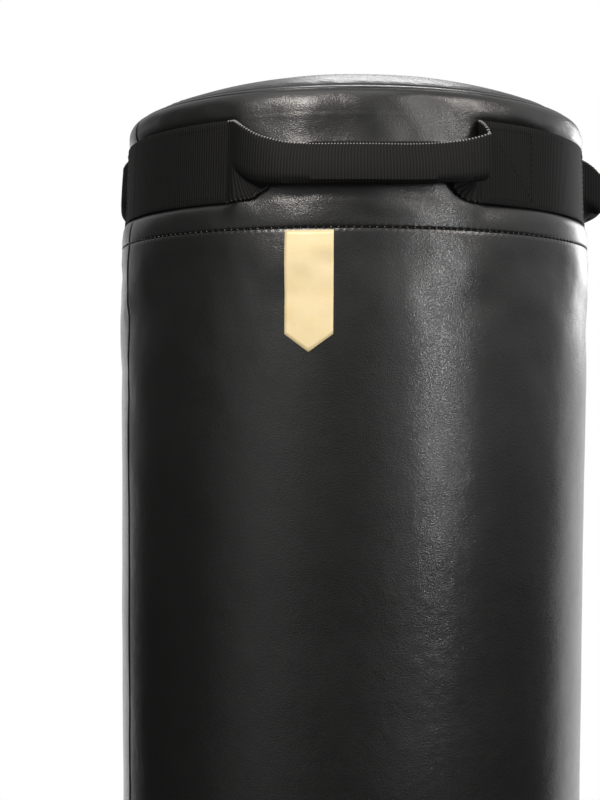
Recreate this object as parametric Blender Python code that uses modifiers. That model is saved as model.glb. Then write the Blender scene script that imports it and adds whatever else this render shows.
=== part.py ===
"""Free-standing punching bag: a padded column on a sprung ball neck, over a water-filled base."""

import math

import bmesh
import bpy
from mathutils import Matrix, Vector

# Lengths are in metres. The bag stands on z = 0, its axis is Z and its front is -Y.
TOTAL_HEIGHT = 1.750
FIT_GAP = 0.0003  # left between pieces that touch
RUNNING_GAP = 0.0008  # between the ball and its cups
ROUND_STEPS = 40
RIM_STEPS = 32
SMALL_STEPS = 24
STUD_STEPS = 16
BOLT_STEPS = 12
HALF_TURN = 180
FULL_TURN = 360

# Base tank
TANK_RADIUS = 0.265
TANK_TOP_Z = 0.300
TANK_WALL = 0.007
TANK_FOOT_HEIGHT = 0.050
TANK_FOOT_STEP = 0.010
TANK_FOOT_CORNER = 0.014
TANK_TAPER = 0.008
TANK_CORNER = 0.040
TANK_SHOULDER_DROP = 0.034
TANK_SHOULDER_TURN = 76  # degrees that the shoulder turns, from the slope of the top to the side
TANK_SEAT_MARGIN = 0.018
TANK_SEAT_STEP = 0.005
WATER_BELOW_TOP = 0.045
WATER_INSET = 0.0015

# Suction cups
CUP_COUNT = 8
CUP_INSET = 0.053
CUP_HEIGHT = 0.018
CUP_RADIUS = 0.036
CUP_RIM_WIDTH = 0.006
CUP_RIM_HEIGHT = 0.004
CUP_RIM_BEVEL = 0.004
CUP_HOLLOW = 0.007
CUP_HOLLOW_SIDE = 0.0055
CUP_HOLLOW_SIDE_RADIUS = 0.016
CUP_SHOULDER = 0.011
CUP_SEAT_WIDTH = 0.008
CUP_SEAT_FLARE = 0.002
CUP_STEM_RADIUS = 0.008
CUP_STEM_DEPTH = 0.004

# Filler neck, cap and seal
FILLER_INSET = 0.073
FILLER_BOSS_RADIUS = 0.034
FILLER_BOSS_BELOW_TOP = 0.009
FILLER_BOSS_DEPTH = 0.034
FILLER_HOLE_RADIUS = 0.0225
FILLER_CAP_MARGIN = 0.0085
FILLER_CAP_HEIGHT = 0.012
FILLER_CAP_GRIPS = 16
FILLER_CAP_GRIP_DEPTH = 0.0022
FILLER_BAR_LENGTH = 0.040
FILLER_BAR_WIDTH = 0.007
FILLER_BAR_HEIGHT = 0.006
FILLER_PLUG_DEPTH = 0.016
FILLER_PLUG_CLEARANCE = 0.0008
SEAL_THICKNESS = 0.0025
SEAL_WIDTH = 0.005

# Spring neck
PLATE_THICKNESS = 0.006
PLATE_MARGIN = 0.0115
NECK_HEIGHT = 0.100
SPRING_COUNT = 4
SPRING_COIL_RADIUS = 0.0195
SPRING_WIRE = 0.0075
SPRING_TURNS = 6
SPRING_BEND = 0.008
SPRING_CLEARANCE = 0.004
POINTS_PER_CURL = 8
BALL_RINGS = 12
BALL_CUP_FLOOR = 0.008
BALL_CUP_WALL = 0.005
BALL_CUP_RIM_DISTANCE = 0.016
BALL_CUP_RINGS = 6

# Bolts that hold the neck to the tank and the bag to the neck
BASE_BOLT_RADIUS = 0.005
BASE_BOLT_LENGTH = 0.024
BASE_BOLT_FLATS = 0.017
BASE_BOLT_HEAD = 0.0064
BASE_BOLT_EDGE = 0.006
INSERT_WALL = 0.003
INSERT_LENGTH = 0.022
INSERT_BOSS_WALL = 0.005
BAG_BOLT_RADIUS = 0.004
BAG_BOLT_FLATS = 0.013
BAG_BOLT_HEAD = 0.0053
BAG_BOLT_SPACE = 0.0012
BOLT_CLEARANCE = 0.0004

# Column inside the bag
BASE_BOARD_THICKNESS = 0.015
FLANGE_MARGIN = 0.006
FLANGE_THICKNESS = 0.008
TUBE_RADIUS = 0.030
TUBE_WALL = 0.002
TUBE_TOP_BELOW_TOP = 0.170
PLUG_RIM = 0.003
PLUG_DEPTH = 0.020
FOAM_TOP_BELOW_SEAM = 0.010

# Cover
BAG_RADIUS = 0.160
COVER_WALL = 0.0015
COVER_BOTTOM_CORNER = 0.015
DOME_RISE = 0.031
DOME_POWER = 2.3
DOME_RINGS = 6
COLLAR_HEIGHT = 0.083
CAP_SEAM_INSET = 0.0125
CAP_LIP = 0.0012
COLLAR_ROUND = 0.005
SEAM_GROOVE = 0.0013
SEAM_HALF_WIDTH = 0.004
COLLAR_INSET = 0.0006
NECK_OPENING_MARGIN = 0.010

# Foil stripe on the front of the body panel
STRIPE_WIDTH = 0.0293
STRIPE_LENGTH = 0.0626
STRIPE_POINT = 0.0106
STRIPE_OFFSET = -0.0264  # along the surface, from the middle of the front
STRIPE_THICKNESS = 0.0003
STRIPE_BELOW_SEAM = 0.0045
STRIPE_STEPS = 4

# Webbing belt and its three carrying handles
WEBBING_WIDTH = 0.050
WEBBING_THICKNESS = 0.0016
BELT_ABOVE_SEAM = 0.0168
BELT_INSET = 0.0027
BELT_LEAN = 0.0014
BELT_STEPS = 10
HANDLE_COUNT = 3
HANDLE_SPAN = 0.162
GRIP_SPAN = 0.129
GRIP_HEIGHT = 0.0225
GRIP_THICKNESS = 0.0036
GRIP_STAND_OFF = 0.0145
GRIP_DROP = 0.0045
GRIP_STEPS = 14
WEB_STEPS = 7

# Radii that follow from the sizes above
BALL_RADIUS = NECK_HEIGHT / 2 - BALL_CUP_FLOOR
BALL_SEAT_RADIUS = BALL_RADIUS + RUNNING_GAP
BALL_CUP_RADIUS = BALL_SEAT_RADIUS + BALL_CUP_WALL
SPRING_OUTER_RADIUS = SPRING_COIL_RADIUS + SPRING_WIRE / 2
SPRING_CIRCLE_RADIUS = BALL_CUP_RADIUS + SPRING_CLEARANCE + SPRING_OUTER_RADIUS
PLATE_RADIUS = SPRING_CIRCLE_RADIUS + SPRING_OUTER_RADIUS + PLATE_MARGIN
BASE_BOLT_CIRCLE = PLATE_RADIUS - BASE_BOLT_EDGE - BASE_BOLT_FLATS / math.sqrt(3)
INSERT_RADIUS = BASE_BOLT_RADIUS + BOLT_CLEARANCE + INSERT_WALL
BAG_BOLT_CIRCLE = BALL_CUP_RADIUS + BAG_BOLT_SPACE + BAG_BOLT_FLATS / math.sqrt(3)
FLANGE_RADIUS = BAG_BOLT_CIRCLE + BAG_BOLT_FLATS / math.sqrt(3) + FLANGE_MARGIN
BASE_BOARD_RADIUS = BAG_RADIUS - COVER_BOTTOM_CORNER
NECK_OPENING_RADIUS = PLATE_RADIUS + NECK_OPENING_MARGIN
INNER_RADIUS = BAG_RADIUS - COVER_WALL - FIT_GAP
CAP_SEAM_RADIUS = BAG_RADIUS - CAP_SEAM_INSET
BELT_RADIUS = BAG_RADIUS - BELT_INSET
BELT_INNER_RADIUS = BELT_RADIUS - WEBBING_THICKNESS
BELT_MIDDLE_RADIUS = BELT_RADIUS - WEBBING_THICKNESS / 2
GRIP_RADIUS = BELT_RADIUS + GRIP_STAND_OFF
CUP_CIRCLE_RADIUS = TANK_RADIUS - CUP_INSET
FILLER_DISTANCE = TANK_RADIUS - FILLER_INSET
FILLER_PLUG_RADIUS = FILLER_HOLE_RADIUS - FILLER_PLUG_CLEARANCE
SEAL_INNER_RADIUS = FILLER_HOLE_RADIUS
FILLER_CAP_RADIUS = FILLER_HOLE_RADIUS + FILLER_CAP_MARGIN

# Heights that follow from the sizes above
TANK_FLOOR_Z = CUP_HEIGHT
WATER_Z = TANK_TOP_Z - WATER_BELOW_TOP
FILLER_BOSS_TOP_Z = TANK_TOP_Z - FILLER_BOSS_BELOW_TOP
INSERT_LOW_Z = TANK_TOP_Z - INSERT_LENGTH
CAP_SEAM_Z = TOTAL_HEIGHT - DOME_RISE
SEAM_Z = CAP_SEAM_Z - COLLAR_HEIGHT
BELT_LOW_Z = SEAM_Z + BELT_ABOVE_SEAM
BELT_MIDDLE_Z = BELT_LOW_Z + WEBBING_WIDTH / 2
LOWER_PLATE_Z = TANK_TOP_Z + FIT_GAP
NECK_LOW_Z = LOWER_PLATE_Z + PLATE_THICKNESS
NECK_HIGH_Z = NECK_LOW_Z + NECK_HEIGHT
BALL_Z = (NECK_LOW_Z + NECK_HIGH_Z) / 2
BOARD_Z = NECK_HIGH_Z + PLATE_THICKNESS + FIT_GAP
COVER_BOTTOM_Z = BOARD_Z - FIT_GAP - COVER_WALL
FLANGE_Z = BOARD_Z + BASE_BOARD_THICKNESS + FIT_GAP
TUBE_LOW_Z = FLANGE_Z + FLANGE_THICKNESS + FIT_GAP
TUBE_TOP_Z = TOTAL_HEIGHT - TUBE_TOP_BELOW_TOP
PLUG_Z = TUBE_TOP_Z + FIT_GAP
FOAM_TOP_Z = SEAM_Z - FOAM_TOP_BELOW_SEAM
GRIP_Z = BELT_MIDDLE_Z - GRIP_DROP

# Angles in degrees that follow from the sizes above, and the handles' hinge lines
HANDLE_STEP = FULL_TURN / HANDLE_COUNT
HANDLE_HALF_ANGLE = math.degrees(HANDLE_SPAN / 2 / BELT_RADIUS)
GRIP_HALF_ANGLE = math.degrees(GRIP_SPAN / 2 / GRIP_RADIUS)
HANDLE_HINGE_RADIUS = BELT_RADIUS * math.cos(math.radians(HANDLE_HALF_ANGLE))
STRIPE_ANGLE = math.degrees(STRIPE_OFFSET / BAG_RADIUS)
STRIPE_HALF_ANGLE = math.degrees(STRIPE_WIDTH / 2 / BAG_RADIUS)


def empty_scene():
    for found in list(bpy.data.objects):
        bpy.data.objects.remove(found, do_unlink=True)


def new_collection(name):
    made = bpy.data.collections.new(name)
    bpy.context.scene.collection.children.link(made)
    return made


def new_material(name, colour, roughness, metallic=0.0):
    made = bpy.data.materials.new(name)
    made.use_nodes = True
    shader = made.node_tree.nodes["Principled BSDF"]
    shader.inputs["Base Color"].default_value = (*colour, 1.0)
    shader.inputs["Roughness"].default_value = roughness
    shader.inputs["Metallic"].default_value = metallic
    made.diffuse_color = (*colour, 1.0)
    return made


def new_object(name, mesh, finish, place=(0, 0, 0)):
    """An object of the bag, placed by its location."""
    made = bpy.data.objects.new(name, mesh)
    made.location = place
    if finish and not mesh.materials:
        mesh.materials.append(finish)
    BAG.objects.link(made)
    return made


def as_cutter(obj):
    BAG.objects.unlink(obj)
    CUTTERS.objects.link(obj)
    obj.hide_render = True
    obj.display_type = "WIRE"
    return obj


def smooth(mesh, angle=35):
    mesh.shade_smooth()
    mesh.set_sharp_from_angle(angle=math.radians(angle))


def profile_mesh(name, points, closed):
    """A profile of (radius, height) points in the XZ plane."""
    mesh = bpy.data.meshes.new(name)
    edges = [(n, n + 1) for n in range(len(points) - 1)]
    if closed:
        edges.append((len(points) - 1, 0))
    mesh.from_pydata([(radius, 0, height) for radius, height in points], edges, [])
    return mesh


def turned(name, points, finish, closed=True, steps=ROUND_STEPS, place=(0, 0, 0)):
    """A profile turned about Z, whose points run down its outer side."""
    obj = new_object(name, profile_mesh(name, points, closed), finish, place)
    screw = obj.modifiers.new("turn", "SCREW")
    screw.steps = screw.render_steps = steps
    screw.use_merge_vertices = True
    screw.merge_threshold = 0.00001
    screw.use_smooth_shade = True
    return obj


def solidify(obj, wall):
    """Gives an open surface a wall inside its outer side."""
    shell = obj.modifiers.new("wall", "SOLIDIFY")
    shell.thickness = wall
    shell.offset = -1
    shell.use_even_offset = True
    return obj


def cylinder_mesh(name, radius, low, high, steps=SMALL_STEPS, centre=(0, 0)):
    mesh = bpy.data.meshes.new(name)
    shape = bmesh.new()
    middle = Matrix.Translation((centre[0], centre[1], (low + high) / 2))
    bmesh.ops.create_cone(
        shape, cap_ends=True, segments=steps, radius1=radius, radius2=radius, depth=high - low, matrix=middle
    )
    shape.to_mesh(mesh)
    shape.free()
    smooth(mesh)
    return mesh


def cylinder(name, radius, low, high, finish, steps=SMALL_STEPS, centre=(0, 0)):
    return new_object(name, cylinder_mesh(name, radius, low, high, steps, centre), finish)


def combine(obj, other, operation):
    """A Boolean with a helper that isn't part of the bag."""
    change = obj.modifiers.new(operation.lower(), "BOOLEAN")
    change.operation = operation
    change.object = as_cutter(other)
    return obj


def ring_point(radius, angle, height=0.0):
    """A point at an angle in degrees from the front, going towards +X."""
    turn = math.radians(angle)
    return Vector((radius * math.sin(turn), -radius * math.cos(turn), height))


def arc_points(centre, radius, first, last, count):
    """Profile points on an arc, with its angles in degrees from +X towards +Z."""
    found = []
    for n in range(count + 1):
        turn = math.radians(first + (last - first) * n / count)
        found.append((centre[0] + radius * math.cos(turn), centre[1] + radius * math.sin(turn)))
    return found


def tank_profile():
    """The outer side of the tank, from the middle of its top to the middle of its floor."""
    waist = TANK_RADIUS - TANK_FOOT_STEP
    shoulder = waist - TANK_TAPER
    seat = PLATE_RADIUS + TANK_SEAT_MARGIN
    foot_top = TANK_FLOOR_Z + TANK_FOOT_HEIGHT
    points = [(0, TANK_TOP_Z), (seat, TANK_TOP_Z), (seat + TANK_SEAT_STEP, TANK_TOP_Z - TANK_SEAT_STEP)]
    corner_z = TANK_TOP_Z - TANK_SHOULDER_DROP - TANK_CORNER
    points += arc_points((shoulder - TANK_CORNER, corner_z), TANK_CORNER, TANK_SHOULDER_TURN, 0, 5)
    points.append((waist, foot_top + TANK_FOOT_STEP))
    points.append((TANK_RADIUS, foot_top))
    foot = (TANK_RADIUS - TANK_FOOT_CORNER, TANK_FLOOR_Z + TANK_FOOT_CORNER)
    points += arc_points(foot, TANK_FOOT_CORNER, 0, -90, 3)
    points.append((0, TANK_FLOOR_Z))
    return points


def water_profile():
    """The water's outer side, which lies close inside the wall of the tank below its level."""
    low = TANK_FLOOR_Z + TANK_WALL + FIT_GAP
    inset = TANK_WALL + WATER_INSET
    waist = TANK_RADIUS - TANK_FOOT_STEP - inset
    shoulder_z = TANK_TOP_Z - TANK_SHOULDER_DROP - TANK_CORNER
    points = [(0, WATER_Z), (waist - TANK_TAPER - TANK_CORNER, WATER_Z)]
    points.append((waist - TANK_TAPER, shoulder_z))
    points.append((waist, low + TANK_FOOT_CORNER))
    points.append((waist - TANK_FOOT_CORNER, low))
    points.append((0, low))
    return points


def bolt_places(circle):
    """The four places on a bolt circle, half way between the springs."""
    step = FULL_TURN / SPRING_COUNT
    return [ring_point(circle, step * (n + 0.5)) for n in range(SPRING_COUNT)]


def cup_places():
    step = FULL_TURN / CUP_COUNT
    return [ring_point(CUP_CIRCLE_RADIUS, step * (n + 0.5)) for n in range(CUP_COUNT)]


def make_tank(plastic):
    """The blown tank, with bosses for the inserts, a filler neck and blind holes for the cups."""
    tank = turned("base_tank", tank_profile(), plastic, closed=False)
    solidify(tank, TANK_WALL)
    boss_radius = INSERT_RADIUS + INSERT_BOSS_WALL
    boss_low = INSERT_LOW_Z - INSERT_BOSS_WALL
    for place in bolt_places(BASE_BOLT_CIRCLE):
        top = TANK_TOP_Z - TANK_WALL / 2
        boss = cylinder("insert_boss", boss_radius, boss_low, top, None, BOLT_STEPS, place)
        combine(tank, boss, "UNION")
    filler = ring_point(FILLER_DISTANCE, HALF_TURN)
    boss_low = FILLER_BOSS_TOP_Z - FILLER_BOSS_DEPTH
    boss = cylinder("filler_boss", FILLER_BOSS_RADIUS, boss_low, FILLER_BOSS_TOP_Z, None, RIM_STEPS, filler)
    combine(tank, boss, "UNION")
    past = boss_low - TANK_WALL
    hole = cylinder("filler_hole", FILLER_HOLE_RADIUS, past, TANK_TOP_Z, None, RIM_STEPS, filler)
    combine(tank, hole, "DIFFERENCE")
    for place in bolt_places(BASE_BOLT_CIRCLE):
        low = INSERT_LOW_Z - FIT_GAP
        radius = INSERT_RADIUS + FIT_GAP
        hole = cylinder("insert_hole", radius, low, TANK_TOP_Z + TANK_WALL, None, STUD_STEPS, place)
        combine(tank, hole, "DIFFERENCE")
    for place in cup_places():
        top = TANK_FLOOR_Z + CUP_STEM_DEPTH + FIT_GAP
        radius = CUP_STEM_RADIUS + FIT_GAP
        hole = cylinder("stem_hole", radius, TANK_FLOOR_Z - CUP_STEM_DEPTH, top, None, BOLT_STEPS, place)
        combine(tank, hole, "DIFFERENCE")


def make_water(water):
    turned("ballast_water", water_profile(), water, closed=False)


def make_suction_cups(rubber):
    """Soft cups whose stems press into the floor of the tank."""
    stem_top = TANK_FLOOR_Z + CUP_STEM_DEPTH
    seat = TANK_FLOOR_Z - FIT_GAP
    seat_radius = CUP_STEM_RADIUS + CUP_SEAT_WIDTH
    points = [(0, stem_top), (CUP_STEM_RADIUS, stem_top), (CUP_STEM_RADIUS, seat), (seat_radius, seat)]
    points.append((seat_radius + CUP_SEAT_FLARE, CUP_SHOULDER))
    points.append((CUP_RADIUS - CUP_RIM_BEVEL, CUP_RIM_HEIGHT))
    points.append((CUP_RADIUS, 0.0))
    points.append((CUP_RADIUS - CUP_RIM_WIDTH, 0.0))
    points.append((CUP_HOLLOW_SIDE_RADIUS, CUP_HOLLOW_SIDE))
    points.append((0, CUP_HOLLOW))
    for number, place in enumerate(cup_places(), start=1):
        turned(f"suction_cup_{number}", points, rubber, closed=False, steps=STUD_STEPS, place=place)


def make_filler_cap(plastic, rubber):
    """The seal lies on the neck, and the screw cap presses on it."""
    place = ring_point(FILLER_DISTANCE, HALF_TURN)
    seal_low = FILLER_BOSS_TOP_Z + FIT_GAP
    seal_high = seal_low + SEAL_THICKNESS
    outer = SEAL_INNER_RADIUS + SEAL_WIDTH
    inner = SEAL_INNER_RADIUS
    ring = [(outer, seal_high), (outer, seal_low), (inner, seal_low), (inner, seal_high)]
    turned("cap_seal", ring, rubber, steps=RIM_STEPS, place=place)
    low = seal_high + FIT_GAP
    high = low + FILLER_CAP_HEIGHT
    mesh = cylinder_mesh("filler_cap", FILLER_CAP_RADIUS, low, high, FILLER_CAP_GRIPS * 2)
    press_grips(mesh)
    cap = new_object("filler_cap", mesh, plastic, place)
    body_top = low + FILLER_CAP_HEIGHT / 2
    body_low = low - FILLER_PLUG_DEPTH
    body = cylinder("filler_plug", FILLER_PLUG_RADIUS, body_low, body_top, None, SMALL_STEPS, place)
    combine(cap, body, "UNION")
    bar_height = FILLER_BAR_HEIGHT + FILLER_CAP_HEIGHT / 2
    bar_mesh = box_mesh("filler_bar", FILLER_BAR_LENGTH, FILLER_BAR_WIDTH, bar_height)
    bar = new_object("filler_bar", bar_mesh, None)
    bar.location = (place.x, place.y, high + FILLER_BAR_HEIGHT - bar_height / 2)
    combine(cap, bar, "UNION")


def press_grips(mesh):
    """Draws every second corner of the cap's edge in, so that a hand can turn it."""
    share = 1 - FILLER_CAP_GRIP_DEPTH / FILLER_CAP_RADIUS
    for vertex in mesh.vertices:
        step = round(math.degrees(math.atan2(vertex.co.y, vertex.co.x)) / (HALF_TURN / FILLER_CAP_GRIPS))
        if step % 2:
            vertex.co.xy *= share


def box_mesh(name, length, width, height):
    mesh = bpy.data.meshes.new(name)
    shape = bmesh.new()
    bmesh.ops.create_cube(shape, size=1)
    bmesh.ops.scale(shape, vec=(length, width, height), verts=shape.verts)
    shape.to_mesh(mesh)
    shape.free()
    return mesh


def make_plates(steel):
    """The plates that the springs are welded to, and the board and flange that the bag stands on."""
    lower = cylinder("lower_spring_plate", PLATE_RADIUS, LOWER_PLATE_Z, NECK_LOW_Z, steel, ROUND_STEPS)
    low = LOWER_PLATE_Z - PLATE_THICKNESS
    high = NECK_LOW_Z + PLATE_THICKNESS
    for place in bolt_places(BASE_BOLT_CIRCLE):
        radius = BASE_BOLT_RADIUS + BOLT_CLEARANCE
        hole = cylinder("base_bolt_hole", radius, low, high, None, BOLT_STEPS, place)
        combine(lower, hole, "DIFFERENCE")
    top = NECK_HIGH_Z + PLATE_THICKNESS
    upper = cylinder("upper_spring_plate", PLATE_RADIUS, NECK_HIGH_Z, top, steel, ROUND_STEPS)
    board = cylinder(
        "base_board", BASE_BOARD_RADIUS, BOARD_Z, BOARD_Z + BASE_BOARD_THICKNESS, BOARD_FINISH, ROUND_STEPS
    )
    flange = cylinder("tube_flange", FLANGE_RADIUS, FLANGE_Z, FLANGE_Z + FLANGE_THICKNESS, steel, RIM_STEPS)
    low = NECK_HIGH_Z - PLATE_THICKNESS
    high = TUBE_LOW_Z + PLATE_THICKNESS
    for place in bolt_places(BAG_BOLT_CIRCLE):
        radius = BAG_BOLT_RADIUS + BOLT_CLEARANCE
        for piece in (upper, board, flange):
            hole = cylinder("bag_bolt_hole", radius, low, high, None, BOLT_STEPS, place)
            combine(piece, hole, "DIFFERENCE")


def bolt_mesh(name, radius, length, flats, head, upward):
    """A hexagon bolt with its head's seat at z = 0, its shank going down, or up."""
    side = 1 if upward else -1
    low, high = sorted((0.0, -side * head))
    mesh = cylinder_mesh(name, flats / math.sqrt(3), low, high, 6)
    for face in mesh.polygons:
        face.use_smooth = False
    return mesh, sorted((-side * head / 2, side * length))


def make_bolts(name, circle, seat, radius, length, flats, head, upward, steel):
    mesh, shank = bolt_mesh(name, radius, length, flats, head, upward)
    for number, place in enumerate(bolt_places(circle), start=1):
        place.z = seat
        bolt = new_object(f"{name}_{number}", mesh, steel, place)
        body = new_object("shank", cylinder_mesh("shank", radius, *shank, steps=BOLT_STEPS), None, place)
        combine(bolt, body, "UNION")


def make_inserts(brass):
    """Threaded inserts moulded into the top of the tank."""
    inner = BASE_BOLT_RADIUS + BOLT_CLEARANCE
    outer = INSERT_RADIUS
    ring = [(outer, TANK_TOP_Z), (outer, INSERT_LOW_Z), (inner, INSERT_LOW_Z), (inner, TANK_TOP_Z)]
    for number, place in enumerate(bolt_places(BASE_BOLT_CIRCLE), start=1):
        turned(f"threaded_insert_{number}", ring, brass, steps=STUD_STEPS, place=place)


def spring_points():
    """A coil whose two ends bend over and stand square on the plates."""
    tip = SPRING_WIRE
    low = NECK_LOW_Z + FIT_GAP
    high = NECK_HIGH_Z - FIT_GAP
    rise = high - low - 2 * (tip + SPRING_BEND)
    count = SPRING_TURNS * POINTS_PER_CURL
    coil = []
    for n in range(count + 1):
        turn = 2 * math.pi * n / POINTS_PER_CURL
        height = low + tip + SPRING_BEND + rise * n / count
        coil.append(Vector((SPRING_COIL_RADIUS * math.cos(turn), SPRING_COIL_RADIUS * math.sin(turn), height)))
    start = []
    finish = []
    for turn in (90, 60, 30):
        ahead = SPRING_BEND * math.sin(math.radians(turn))
        drop = SPRING_BEND * (1 - math.cos(math.radians(turn)))
        start.append(coil[0] + Vector((0, -ahead, -drop)))
        finish.insert(0, coil[-1] + Vector((0, ahead, drop)))
    foot = Vector((start[0].x, start[0].y, low))
    head = Vector((finish[-1].x, finish[-1].y, high))
    return [foot, *start, *coil, *finish, head]


def least_self_gap(points, wire):
    """The least air between stretches of one tube that are over half a curl apart along it."""
    apart = POINTS_PER_CURL // 2
    near = math.inf
    for first in range(len(points)):
        for second in range(first + apart, len(points)):
            near = min(near, (points[first] - points[second]).length)
    return near - wire


def make_springs(steel):
    points = spring_points()
    print(f"least gap of a spring to itself: {1000 * least_self_gap(points, SPRING_WIRE):.2f} mm")
    for number in range(SPRING_COUNT):
        angle = FULL_TURN / SPRING_COUNT * number
        curve = bpy.data.curves.new(f"neck_spring_{number + 1}", "CURVE")
        curve.dimensions = "3D"
        curve.bevel_depth = SPRING_WIRE / 2
        curve.bevel_resolution = 1
        curve.use_fill_caps = True
        curve.twist_mode = "MINIMUM"
        line = curve.splines.new("POLY")
        line.points.add(len(points) - 1)
        line.use_smooth = True
        for spot, point in zip(line.points, points):
            spot.co = (*point, 1)
        curve.materials.append(steel)
        spring = bpy.data.objects.new(curve.name, curve)
        spring.location = ring_point(SPRING_CIRCLE_RADIUS, angle)
        spring.rotation_euler = (0, 0, math.radians(angle + 90))
        BAG.objects.link(spring)


def make_ball(urethane, steel):
    """The ball turns between two cups, each on one of the plates."""
    ball = arc_points((0, 0), BALL_RADIUS, 90, -90, BALL_RINGS)
    ball[0] = (0, BALL_RADIUS)
    ball[-1] = (0, -BALL_RADIUS)
    turned("pivot_ball", ball, urethane, closed=False, steps=SMALL_STEPS, place=(0, 0, BALL_Z))
    rim = math.degrees(math.asin(BALL_CUP_RIM_DISTANCE / BALL_SEAT_RADIUS))
    hollow = arc_points((0, BALL_Z), BALL_SEAT_RADIUS, -rim, -90, BALL_CUP_RINGS)
    hollow[-1] = (0, BALL_Z - BALL_SEAT_RADIUS)
    low = NECK_LOW_Z + FIT_GAP
    points = [(0, low), (BALL_CUP_RADIUS, low), (BALL_CUP_RADIUS, BALL_Z - BALL_CUP_RIM_DISTANCE), *hollow]
    turned("lower_ball_cup", points[::-1], steel, closed=False, steps=SMALL_STEPS)
    upper = [(radius, 2 * BALL_Z - height) for radius, height in points]
    turned("upper_ball_cup", upper, steel, closed=False, steps=SMALL_STEPS)


def make_column(steel, plastic, foam, soft_foam):
    """The tube, its plug and the foam round them."""
    inner = TUBE_RADIUS - TUBE_WALL
    tube = [(TUBE_RADIUS, TUBE_TOP_Z), (TUBE_RADIUS, TUBE_LOW_Z), (inner, TUBE_LOW_Z), (inner, TUBE_TOP_Z)]
    turned("core_tube", tube, steel, steps=RIM_STEPS)
    stem = inner - FIT_GAP
    plug_top = PLUG_Z + PLUG_RIM
    plug = [(0, plug_top), (TUBE_RADIUS, plug_top), (TUBE_RADIUS, PLUG_Z), (stem, PLUG_Z)]
    plug += [(stem, PLUG_Z - PLUG_DEPTH), (0, PLUG_Z - PLUG_DEPTH)]
    turned("tube_plug", plug, plastic, closed=False, steps=RIM_STEPS)
    turned("foam_core", foam_core_profile(plug_top), foam, closed=False)
    inside = COVER_WALL + FIT_GAP
    pad = inset_profile(dome_profile(), inside)
    pad[0] = (0, TOTAL_HEIGHT - inside)
    pad += inset_profile(collar_profile(), inside)
    pad.append((INNER_RADIUS - SEAM_GROOVE, FOAM_TOP_Z + FIT_GAP))
    pad.append((0, FOAM_TOP_Z + FIT_GAP))
    turned("top_pad", pad, soft_foam, closed=False)


def foam_core_profile(plug_top):
    """The foam's outer side, its lower corner round the board, and its bore round the flange and tube."""
    bore = TUBE_RADIUS + FIT_GAP
    recess = FLANGE_RADIUS + FIT_GAP
    recess_z = TUBE_LOW_Z
    board = BASE_BOARD_RADIUS + FIT_GAP
    corner = (BAG_RADIUS - COVER_BOTTOM_CORNER, COVER_BOTTOM_Z + COVER_BOTTOM_CORNER)
    points = [(0, FOAM_TOP_Z), (INNER_RADIUS, FOAM_TOP_Z)]
    points += arc_points(corner, COVER_BOTTOM_CORNER - COVER_WALL - FIT_GAP, 0, -80, 3)
    points += [(board, BOARD_Z + FIT_GAP), (board, FLANGE_Z), (recess, FLANGE_Z), (recess, recess_z)]
    points += [(bore, recess_z), (bore, plug_top + FIT_GAP), (0, plug_top + FIT_GAP)]
    return points


def dome_profile():
    """The outer side of the top, from its middle to its edge over the cap seam."""
    rise = DOME_RISE - COVER_WALL - FIT_GAP
    points = [(0, TOTAL_HEIGHT)]
    for n in range(1, DOME_RINGS + 1):
        share = n / DOME_RINGS
        points.append((CAP_SEAM_RADIUS * share, TOTAL_HEIGHT - rise * share**DOME_POWER))
    return points


def inset_profile(points, distance):
    """A profile moved inwards by a distance, square to its lines."""
    lines = [Vector(two) - Vector(one) for one, two in zip(points, points[1:])]
    normals = [Vector((line.y, -line.x)).normalized() for line in lines]
    found = []
    for n, point in enumerate(points):
        before = normals[max(n - 1, 0)]
        after = normals[min(n, len(normals) - 1)]
        middle = (before + after).normalized()
        found.append(tuple(Vector(point) + middle * (distance / middle.dot(before))))
    return found


def collar_profile():
    """The outer side of the collar, from the cap seam down to the lower seam."""
    under_belt = BELT_INNER_RADIUS - FIT_GAP
    points = [(CAP_SEAM_RADIUS, CAP_SEAM_Z)]
    points.append((CAP_SEAM_RADIUS + COLLAR_ROUND, CAP_SEAM_Z - COLLAR_ROUND))
    points.append((under_belt - BELT_LEAN, BELT_LOW_Z + WEBBING_WIDTH))
    points.append((under_belt, BELT_LOW_Z))
    points.append((BAG_RADIUS - COLLAR_INSET, SEAM_Z + 2 * SEAM_HALF_WIDTH))
    points.append((BAG_RADIUS - COLLAR_INSET, SEAM_Z + SEAM_HALF_WIDTH))
    points.append((BAG_RADIUS - SEAM_GROOVE, SEAM_Z + FIT_GAP))
    return points


def make_cover(leather):
    """The sewn cover: a body tube, a collar, a domed cap and a bottom ring."""
    body = [(BAG_RADIUS - SEAM_GROOVE, SEAM_Z), (BAG_RADIUS, SEAM_Z - SEAM_HALF_WIDTH)]
    body.append((BAG_RADIUS, (SEAM_Z + COVER_BOTTOM_Z) / 2))
    corner = (BAG_RADIUS - COVER_BOTTOM_CORNER, COVER_BOTTOM_Z + COVER_BOTTOM_CORNER)
    body += arc_points(corner, COVER_BOTTOM_CORNER, 0, -90, 4)
    solidify(turned("body_panel", body, leather, closed=False), COVER_WALL)
    solidify(turned("collar_panel", collar_profile(), leather, closed=False), COVER_WALL)
    dome = dome_profile()
    dome[-1] = (CAP_SEAM_RADIUS + CAP_LIP, dome[-1][1])
    solidify(turned("top_cap", dome, leather, closed=False), COVER_WALL)
    low = COVER_BOTTOM_Z
    high = low + COVER_WALL
    outer = BAG_RADIUS - COVER_BOTTOM_CORNER - FIT_GAP
    ring = [(outer, high), (outer, low), (NECK_OPENING_RADIUS, low), (NECK_OPENING_RADIUS, high)]
    turned("bottom_panel", ring, leather)


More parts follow.
